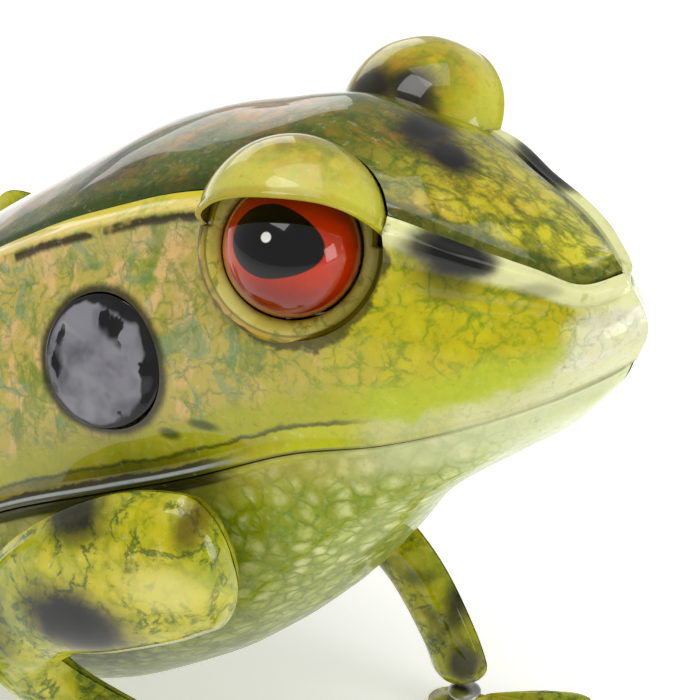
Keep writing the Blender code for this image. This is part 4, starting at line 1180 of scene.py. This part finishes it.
def build_face():
    for side, word in SIDES:
        # The lid: a pressed dome with a thin lip rolled out along its edge.
        r, inside = DOME_R, DOME_R - TIN
        outer = [(r * sin(t), r * cos(t)) for t in np.linspace(0.05, 1.46, 44)]
        lip = [
            (r + 0.04, 0.75),
            (r + 0.14, 0.50),
            (r + 0.20, 0.28),
            (r + 0.16, 0.06),
            (r - 0.05, -0.02),
            (inside + 0.1, 0.0),
        ]
        under = [(inside * sin(t), inside * cos(t)) for t in np.linspace(1.5, 0.05, 40)]
        profile = [(0, r)] + outer + lip + under + [(0, inside)]
        sides = 144

        def rise(angle, row):
            edge = ease(row, 20, 46) if row <= 50 else ease(96 - row, 20, 46)
            return edge * (0.12 * sin(3 * angle + 0.7) + 0.08 * sin(5 * angle))

        points, faces = turned(DOME, LID_AXIS, profile, sides, rise)
        uv = []
        for radius, height in profile:
            away = (pi / 2 - atan2(radius, max(height, 0.0))) * r / UV_SPAN
            uv += [(0.0, away)] * (1 if radius == 0 else sides)
        out = [(p - DOME) / max(np.linalg.norm(p - DOME), 1e-6) for p in points]
        points = [p + n * wobble(p * (1, side, 1), 5.0, 0.14) for p, n in zip(points, out)]
        lid = make_mesh(word + " eyelid", flip(points, side), faces, LID_PAINT, {"lip": uv})
        stand_for(lid, "frame", "eyelid_" + word)

        globe = [(0, -BALL_R)] + [(BALL_R * cos(t), BALL_R * sin(t)) for t in np.linspace(-1.5, 1.5, 80)]
        globe += [(0, BALL_R)]
        points, faces = turned(BALL, SOCKET_AXIS, globe, 128)
        ball = make_mesh(word + " eye", flip(points, side), faces, make_eye_paint(side))
        stand_for(ball, "frame", "eyeball_" + word)
        build_socket(side, word)
        build_ear(side, word)


def build_socket(side, word):
    """A rounded pale ring about the eye, drawn in where the lid passes over it."""
    n, a, b = axes_of(SOCKET_AXIS)
    lid = np.array(LID_AXIS) / np.linalg.norm(LID_AXIS)
    sides, section = 180, 18
    points, uv = [], []
    for k in range(sides):
        angle = 2 * pi * k / sides
        e = cos(angle) * a + sin(angle) * b
        reach = 9.75
        while reach > 7.75:
            p = BALL + e * reach
            if np.dot(p - DOME, lid) < -0.5 or np.linalg.norm(p - DOME) < DOME_R - TIN - 0.35:
                break
            reach -= 0.05
        middle, half = (7.2 + reach) / 2, (reach - 7.2) / 2
        for j in range(section):
            t = 2 * pi * j / section
            flare = -1.0 * (0.5 + 0.5 * cos(t)) ** 2.0
            crown = sin(t) * (0.55 if sin(t) > 0 else 0.45)
            points.append(BALL + e * (middle + half * cos(t)) + n * (crown + flare - 0.1))
            uv.append((k / sides, 0.5 + 0.5 * cos(t)))
    faces = grid(sides, section, 0, True)
    last = (sides - 1) * section
    faces += [[last + j, last + (j + 1) % section, (j + 1) % section, j] for j in range(section)]
    ring = make_mesh(word + " eye ring", flip(points, side), faces, SOCKET_PAINT, {"lip": uv})
    stand_for(ring, "frame", "eye_socket_" + word)


def build_ear(side, word):
    """A beaten disc with a turned-down edge."""
    rings, sides = 44, 120
    profile = [(0, 1.0)] + [(EAR_R * t / rings, 1.0 - 1.15 * (t / rings) ** 2) for t in range(1, rings)]
    profile += [(EAR_R - 0.06, -0.12), (EAR_R + 0.12, -0.3), (EAR_R + 0.12, -0.7), (EAR_R - 0.1, -1.0)]
    profile += [(EAR_R * t / 12, -0.1 - 0.9 * (t / 12) ** 2) for t in range(11, 0, -1)] + [(0, -0.1)]
    points, faces = turned(EAR, EAR_AXIS, profile, sides)
    n = axes_of(EAR_AXIS)[0]
    uv = []
    for radius, _ in profile:
        uv += [(0.0, radius / EAR_R)] * (1 if radius == 0 else sides)
    moved = []
    for p, (_, v) in zip(points, uv):
        soft = 1.0 - ease(v, 0.85, 1.0)
        dent = noise.noise(Vector((p[0] * 0.5, p[1] * side + 9.0, p[2] * 0.5)) * 0.9) * 0.34
        moved.append(p + n * dent * soft)
    disc = make_mesh(word + " ear disc", flip(moved, side), faces, EAR_PAINT, {"lip": uv})
    stand_for(disc, "frame", "ear_disc_" + word)


# ------------------------------------------------------------------ limbs
HALF_WIDTHS = {}


def half_width(x, z):
    """Half the body's width at a place on its side."""
    if not HALF_WIDTHS:
        for along in np.linspace(0, LAST, 97):
            for around in np.linspace(0, 4, 61):
                p = skin(along, around)
                key = (round(p[0] / 3), round(p[2] / 3))
                HALF_WIDTHS[key] = max(HALF_WIDTHS.get(key, 0.0), p[1])
    return HALF_WIDTHS.get((round(x / 3), round(z / 3)), 0.0)


UPPER_ARM = [(-1.5, 25.5, -34.5), (-9.5, 26.5, -36.6), (-18.0, 27.2, -41.0), (-25.5, 27.6, -46.5)]
FOREARM = {
    1: [
        (-28.0, 27.0, -53.0),
        (-22.0, 25.5, -59.0),
        (-12.0, 23.8, -61.5),
        (-4.0, 21.8, -66.0),
        (2.2, 20.3, -74.0),
    ],
    -1: [
        (-29.5, 27.0, -54.0),
        (-25.0, 26.0, -61.0),
        (-15.0, 24.4, -65.0),
        (-4.5, 22.4, -68.4),
        (3.0, 20.2, -74.6),
    ],
}
FORELEG_WIDTHS = [7.0, 8.6, 8.2, 6.6, 5.4, 4.6, 4.3, 4.1, 3.8, 3.6]
FORELEG_DEPTHS = [3.8, 4.6, 4.4, 3.8, 3.2, 2.8, 2.6, 2.4, 2.2, 2.0]


def half_limb(path, widths, depths, way, rings=110, sides=34, seam=0.45):
    """One pressed half of a limb with a narrow flange where it meets the other half."""
    path = np.array(path, float)
    widths, depths = np.array(widths, float), np.array(depths, float)
    last = len(path) - 1
    where = [last * (0.5 - 0.5 * cos(pi * k / (rings - 1))) for k in range(rings)]
    outer, inner = [], []
    for w in where:
        p = curve(path, w)
        run = curve(path, min(w + 0.02, last)) - curve(path, max(w - 0.02, 0))
        run = run / np.linalg.norm(run)
        y = np.array([0.0, way, 0.0])
        y = y - run * np.dot(y, run)
        y = y / np.linalg.norm(y)
        across = np.cross(y, run)
        ends = min(w, last - w)
        shut = sqrt(max(1 - (1 - min(ends / 0.45, 1)) ** 2, 0.0))
        wide = float(curve(widths, w)) * (0.05 + 0.95 * shut)
        deep = float(curve(depths, w)) * (0.06 + 0.94 * shut)
        for k in range(sides + 1):
            angle = pi * k / sides
            c, s = cos(angle), sin(angle)
            brim = seam * (1.0 - ease(s, 0.02, 0.2))
            lift = wobble(p + across * c * wide + y * s * deep, 6.0, 0.3) * s
            q = p + across * (wide + brim) * c + y * (0.12 + (deep - 0.12 + lift) * s ** 0.9)
            outer.append(q)
            inner.append(
                p + across * (wide + brim - 0.4) * c + y * (0.12 + max(deep - 0.45, 0.05) * s * 0.98)
            )
    columns = sides + 1
    base = len(outer)
    faces = grid(rings, columns) + [face[::-1] for face in grid(rings, columns, base)]
    for i in range(rings - 1):
        for j in (0, sides):
            a = i * columns + j
            faces.append([a, a + columns, base + a + columns, base + a])
    for i in (0, rings - 1):
        o = [i * columns + j for j in range(columns)]
        for a, b in zip(o, o[1:]):
            faces.append([a, b, base + b, base + a])
    return outer + inner, faces


def foot_shape(heel, length, width, swing, toes, seed):
    """A webbed foot, domed over the instep, with a raised finger along each toe."""
    sides, rings = toes * 40 + 40, 26
    outline = []
    for k in range(sides):
        part = k / sides
        if part < 0.82:
            t = part / 0.82
            spread = (t - 0.5) * 2
            wave = (0.5 - 0.5 * cos(2 * pi * t * toes)) ** 0.7
            reach = length * (0.78 + 0.22 * wave) * (1 - 0.18 * abs(spread) ** 2)
            angle = -spread * atan2(width, length)
            outline.append((reach * cos(angle), reach * sin(angle) * 1.05, wave))
        else:
            t = (part - 0.82) / 0.18
            angle = -pi / 2 - pi * t
            outline.append((3.2 * cos(angle) - 1.6, -2.9 * sin(angle), 0.0))
    turn = radians(swing)
    hub = (0.16 * length, 0.0)
    points, faces = [], []

    def put(x, y, z):
        points.append(
            (heel[0] + x * cos(turn) + y * sin(turn), heel[1] - x * sin(turn) + y * cos(turn), GROUND + z)
        )

    for layer in (1, 0):
        for r in range(rings):
            t = 1.0 - r / rings
            for k, (x, y, wave) in enumerate(outline):
                px, py = hub[0] + (x - hub[0]) * t, hub[1] + (y - hub[1]) * t
                if layer:
                    finger = 0.55 * wave * sin(pi * min(t, 0.999)) + 0.25 * wave
                    rounding = sqrt(max(1.0 - t ** 8, 0.0))
                    z = 0.45 + rounding * (0.35 + finger + 1.45 * (1 - t) ** 1.3)
                    z += noise.noise(Vector((px * 0.5 + seed, py * 0.5, 3.0))) * 0.12 * rounding
                else:
                    z = 0.12 * t ** 6 if t < 1 else 0.3
                put(px, py, z)
        put(hub[0], hub[1], 2.35 if layer else 0.0)
    per = rings * sides + 1
    for layer in (0, 1):
        start = layer * per
        faces += grid(rings, sides, start, True)
        last = start + (rings - 1) * sides
        faces += [[last + k, last + (k + 1) % sides, last + sides] for k in range(sides)]
    for k in range(sides):
        m = (k + 1) % sides
        faces.append([k, m, per + m, per + k])
    return points, faces


def foreleg_path(side):
    path = []
    line = UPPER_ARM + FOREARM[side] + [(*FRONT_HEEL, -80.3)]
    for (x, y, z), depth in zip(line, FORELEG_DEPTHS):
        if z > -66:
            y = max(y, half_width(x, z) + depth + 0.65)
        path.append((x, y, z))
    return path


def build_forelegs():
    for side, word in SIDES:
        path = foreleg_path(side)
        for half, way in (("outer", 1), ("inner", -1)):
            points, faces = half_limb(path, FORELEG_WIDTHS, FORELEG_DEPTHS, way)
            leg = make_mesh(f"{word} foreleg {half} half", flip(points, side), faces, FORELEG_PAINT)
            stand_for(leg, "frame", f"foreleg_{half}_{word}")
        points, faces = foot_shape(FRONT_HEEL, 18.0, 8.5, -14.0, 3, 4.0 + side)
        foot = make_mesh(word + " forefoot", flip(points, side), faces, FOOT_PAINT)
        stand_for(foot, "frame", "forefoot_" + word)


THIGH = [(-64.5, -70.0), (-68.5, -56.0), (-66.5, -42.0), (-61.0, -31.5)]
SHANK = [(-61.0, -32.0), (-67.5, -46.0), (-72.0, -63.0), (-72.5, -80.6)]


def shank_shape():
    path = np.array([(x, 35.2, z) for x, z in SHANK], float)
    rings, sides = 90, 48
    points = []
    for i in range(rings):
        part = 0.5 - 0.5 * cos(pi * i / (rings - 1))
        w = part * 3
        p = curve(path, w)
        run = curve(path, min(w + 0.02, 3)) - curve(path, max(w - 0.02, 0))
        run = run / np.linalg.norm(run)
        across = np.cross((0, 1, 0), run)
        wide = 6.2 - 3.0 * part
        if part < 0.1:
            wide *= sqrt(max(1 - (1 - part / 0.1) ** 2, 0.004))
        if part > 0.97:
            wide *= sqrt(max(1 - ((part - 0.97) / 0.03) ** 2 * 0.6, 0.01))
        thick = 1.9 * min(wide / 3.0, 1.0)
        for k in range(sides):
            t = 2 * pi * k / sides
            c, s = cos(t), sin(t)
            # A stamped hollow runs down each face and a thin flange down each edge.
            hollow = 0.45 * exp(-((s / 0.35) ** 2)) * ease(part, 0.1, 0.25) * (1 - ease(part, 0.75, 0.95))
            brim = 0.4 * (1 - ease(abs(c), 0.04, 0.2))
            points.append(p + np.array([0, 1, 0]) * c * (thick - hollow) + across * s * (wide + brim))
    ends = [list(range(sides)), [(rings - 1) * sides + k for k in range(sides)]]
    return points, grid(rings, sides, 0, True) + ends


def build_hind():
    for side, word in SIDES:
        hole = turned(HIP_AXLE, (0, 1, 0), [(0, 22), (2.1, 22), (2.1, 29.2), (0, 29.2)], 48)
        tool = cutter("thigh hole", hole, side)
        for half, way in (("outer", 1), ("inner", -1)):
            path = [(x, 28.6, z) for x, z in THIGH]
            points, faces = half_limb(path, [7.4, 10.6, 10.0, 7.8], [3.0, 3.8, 3.8, 3.2], way)
            thigh = make_mesh(f"{word} thigh {half} half", flip(points, side), faces, HIND_PAINT)
            if way < 0:
                trim(thigh, [tool])
            stand_for(thigh, "hind_legs", f"thigh_{half}_{word}")
        discard([tool])
        points, faces = shank_shape()
        shank = make_mesh(word + " shank", flip(points, side), faces, HIND_PAINT)
        stand_for(shank, "hind_legs", "shank_" + word)
        points, faces = foot_shape(HIND_HEEL, 32.0, 12.5, 0.0, 4, 9.0 + side)
        foot = make_mesh(word + " hind foot", flip(points, side), faces, FOOT_PAINT)
        stand_for(foot, "hind_legs", "hind_foot_" + word)


# ------------------------------------------------------------------ key and rivets
def build_key():
    """A stamped bow with rolled edges on a waisted stem."""
    rings, sides = 12, 120
    centre = np.array([-34.0, 37.0, -33.0])
    outline = []
    for k in range(sides):
        t = 2 * pi * k / sides
        c, s = cos(t), sin(t)
        outline.append((8.4 * c * (0.72 + 0.28 * abs(c)), 6.4 * s))
    points, faces = [], []
    for k, (x, z) in enumerate(outline):
        n = np.array([x, z]) / hypot(x, z)
        for j in range(rings):
            t = pi * (j / (rings - 1) - 0.5)
            inset = 0.6 * (1 - cos(t))
            points.append(centre + np.array([x - n[0] * inset, z - n[1] * inset, 0.7 * sin(t)]))
    for k in range(sides):
        m = (k + 1) % sides
        for j in range(rings - 1):
            a, b = k * rings + j, m * rings + j
            faces.append([a, b, b + 1, a + 1])
    faces.append([k * rings for k in range(sides)])
    faces.append([k * rings + rings - 1 for k in range(sides)])
    bow = make_mesh("key bow", points, faces, TINNED)
    holes = []
    for x in (4.7, -4.7):
        lip = [
            (0, -3),
            (2.2, -3),
            (2.2, -0.7),
            (1.95, -0.35),
            (1.9, 0.0),
            (1.95, 0.35),
            (2.2, 0.7),
            (2.2, 3),
            (0, 3),
        ]
        holes.append(cutter("bow hole", turned(centre + np.array([x, 0, 0]), (0, 0, 1), lip, 48), 1))
    trim(bow, holes)
    discard(holes)
    stand_for(bow, "winding", "key_bow")
    profile = [
        (0, 25.0),
        (2.8, 25.0),
        (3.0, 25.25),
        (3.0, 26.0),
        (2.7, 26.5),
        (2.55, 27.5),
        (2.6, 28.8),
        (2.9, 29.6),
        (2.9, 30.1),
    ]
    profile += [(2.6, 30.5), (0, 30.9)]
    points, faces = turned(KEY_AXLE, (0, 1, 0), profile, 64)
    stem = make_mesh("key stem", points, faces, TINNED)
    stand_for(stem, "winding", "key_stem")


def make_rivet_nodes():
    """Geometry nodes: one domed, faintly hammered rivet head on every point, facing one way."""
    tree = bpy.data.node_groups.new("domed rivet heads", "GeometryNodeTree")
    sockets = [
        ("Points", "Geometry", None), ("Head Radius", "Float", 0.002), ("Head Height", "Float", 0.0012),
        ("Hammering", "Float", 0.00005), ("Facing", "Vector", (0, 1, 0)), ("Seed", "Int", 3), (
            "Metal", "Material", None
        ),
    ]
    for label, kind, value in sockets:
        socket = tree.interface.new_socket(label, in_out="INPUT", socket_type="NodeSocket" + kind)
        if value is not None:
            socket.default_value = value
    tree.interface.new_socket("Rivets", in_out="OUTPUT", socket_type="NodeSocketGeometry")
    n = Nodes(tree)

    def made(kind, output=0, values=None, **settings):
        node = n.add(kind, **settings)
        for label, value in (values or {}).items():
            n.feed(node.inputs[label], value)
        return node.outputs[output]

    start = n.add("NodeGroupInput").outputs
    globe = made("GeometryNodeMeshUVSphere", values={"Segments": 40, "Rings": 24, "Radius": 1.0})
    squash = made(
        "ShaderNodeCombineXYZ",
        values={0: start["Head Radius"], 1: start["Head Radius"], 2: start["Head Height"]},
    )
    shape = made("GeometryNodeTransform", values={"Geometry": globe, "Scale": squash})
    align = made("FunctionNodeAlignEulerToVector", values={"Vector": start["Facing"]}, axis="Z")
    size = made("FunctionNodeRandomValue", 1, {"Seed": start["Seed"]}, data_type="FLOAT")
    n.feed(size.node.inputs["Min"], 0.96)
    n.feed(size.node.inputs["Max"], 1.0)
    heads = made(
        "GeometryNodeInstanceOnPoints",
        values={"Points": start["Points"], "Instance": shape, "Rotation": align, "Scale": size},
    )
    real = made("GeometryNodeRealizeInstances", values={0: heads})
    dents = made("ShaderNodeTexNoise", values={"Scale": 900.0})
    depth = n.times(n.minus(dents, 0.5), start["Hammering"])
    push = n.vector("SCALE", made("GeometryNodeInputNormal"), scale=depth)
    moved = made("GeometryNodeSetPosition", values={"Geometry": real, "Offset": push})
    metal = made("GeometryNodeSetMaterial", values={"Geometry": moved, "Material": start["Metal"]})
    n.feed(n.add("NodeGroupOutput").inputs[0], metal)
    return tree


def rivets(title, tree, places, facing, radius, height, body_name, replaced):
    """Rivet heads at the places, facing one way."""
    name = title.replace(" ", "_")
    mesh = bpy.data.meshes.new(name)
    mesh.from_pydata([world(p) for p in places], [], [])
    item = bpy.data.objects.new(name, mesh)
    bpy.context.scene.collection.objects.link(item)
    modifier = item.modifiers.new("rivet heads", "NODES")
    modifier.node_group = tree
    values = {
        "Head Radius": radius * MM,
        "Head Height": height * MM,
        "Hammering": 0.08 * MM,
        "Seed": 7,
        "Metal": TINNED,
    }
    values["Facing"] = facing
    for socket in tree.interface.items_tree:
        if socket.in_out == "INPUT" and socket.name in values:
            modifier[socket.identifier] = values[socket.name]
    settle(item)
    if not item.data.materials:
        item.data.materials.append(TINNED)
    stand_for(item, body_name, replaced)


def build_rivets():
    tree = make_rivet_nodes()
    for side, word in SIDES:
        knee = [(-62.8, side * 37.6, -37.0)]
        rivets(word + " knee rivet", tree, knee, (0, side, 0), 2.0, 1.1, "hind_legs", "knee_rivet_" + word)
        ankle = [(HIND_HEEL[0], side * HIND_HEEL[1], GROUND + 2.1)]
        rivets(word + " ankle rivet", tree, ankle, (0, 0, 1), 2.2, 0.8, "hind_legs", "ankle_rivet_" + word)
        wrist = [(FRONT_HEEL[0], side * FRONT_HEEL[1], GROUND + 2.4)]
        rivets(
            word + " forefoot rivet", tree, wrist, (0, 0, 1), 2.2, 0.8, "frame", "forefoot_rivet_" + word
        )


# ------------------------------------------------------------------ finish of the works
WORKS = {
    "motor_plate": TINNED, "motor_pillar": STEEL, "motor_stay": STEEL, "hip_bush": BRASS, "key_bush": BRASS,
    "great_wheel": BRASS, "second_wheel": BRASS, "kick_cam": BRASS,
    "mainspring": BLUED, "return_spring": BLUED,
    "click": STEEL, "ratchet_wheel": STEEL, "leg_crossbar": STEEL, "kick_lever": TINNED,
}


def paint_works():
    for name, node in frame["nodes"].items():
        chosen = STEEL
        for word, metal in WORKS.items():
            if name.startswith(word):
                chosen = metal
                break
        if name.startswith(("foreleg", "thigh", "shank", "hind_foot", "forefoot")):
            chosen = HIND_PAINT
        for slot in node.material_slots:
            slot.material = chosen


# ------------------------------------------------------------------ studio
BACK_WAY = Vector((0.41323, -0.76106, 0.5))
RIGHT_WAY = Vector((0.87882, 0.47716, 0.0))
UP_WAY = Vector((-0.23858, 0.43941, 0.86603))
CAMERA_PLACE = (0.118649, -0.176415, 0.178021)
LENS = 107.486


def build_camera():
    camera = bpy.data.cameras.new("camera")
    camera.lens = LENS
    camera.sensor_width = 36.0
    camera.clip_start = 0.01
    item = bpy.data.objects.new("camera", camera)
    bpy.context.scene.collection.objects.link(item)
    matrix = item.matrix_world.to_3x3()
    for k in range(3):
        matrix[k][0], matrix[k][1], matrix[k][2] = RIGHT_WAY[k], UP_WAY[k], BACK_WAY[k]
    item.matrix_world = matrix.to_4x4()
    item.location = CAMERA_PLACE
    bpy.context.scene.camera = item


def softbox(name, way, away, size, energy, tint=(1.0, 1.0, 1.0)):
    light = bpy.data.lights.new(name, "AREA")
    light.shape = "RECTANGLE"
    light.size, light.size_y = size
    light.energy = energy
    light.color = tint
    item = bpy.data.objects.new(name, light)
    bpy.context.scene.collection.objects.link(item)
    aim = Vector((0.02, 0.0, 0.06))
    place = Vector(way).normalized() * away
    item.location = aim + place
    item.rotation_euler = (-place).to_track_quat("-Z", "Y").to_euler()


FLOOR_REACH = 1.6
FLOOR_STEPS = 40


def build_studio():
    places = np.linspace(-FLOOR_REACH, FLOOR_REACH, FLOOR_STEPS + 1)
    points = [(x / MM - SHIFT_X, y / MM, GROUND) for x in places for y in places]
    n = Material("pale paper floor")
    grain = n.noise(n.where, 30.0, 4.0)
    n.set(Emission_Color=(1.0, 1.0, 1.0, 1.0), Emission_Strength=0.38)
    n.base = n.mix(grain, (0.93, 0.93, 0.92, 1), (0.97, 0.97, 0.96, 1))
    paper = n.finish(n.linear(grain, 0.1, 0.8))
    ground = make_mesh("floor", points, grid(len(places), len(places)), paper)
    bpy.context.scene.view_settings.view_transform = "Standard"
    world_light = bpy.data.worlds.new("studio")
    bpy.context.scene.world = world_light
    world_light.use_nodes = True
    background = world_light.node_tree.nodes["Background"]
    background.inputs["Color"].default_value = (1.0, 1.0, 1.0, 1.0)
    background.inputs["Strength"].default_value = 0.46
    softbox("softbox left", BACK_WAY * 0.75 + UP_WAY * 0.75 - RIGHT_WAY * 0.25, 0.55, (0.26, 0.26), 1.05)
    softbox("softbox above", Vector((0.1, 0.1, 1.0)), 0.6, (0.4, 0.4), 1.05)
    softbox("softbox behind", Vector((-0.69, 0.66, 0.34)), 0.6, (0.36, 0.26), 0.4)
    softbox("softbox right", RIGHT_WAY * 0.9 + BACK_WAY * 0.41 - UP_WAY * 0.1, 0.6, (0.22, 0.2), 0.7)


paint_works()
build_body()
build_face()
build_forelegs()
build_hind()
build_key()
build_rivets()
build_camera()
build_studio()
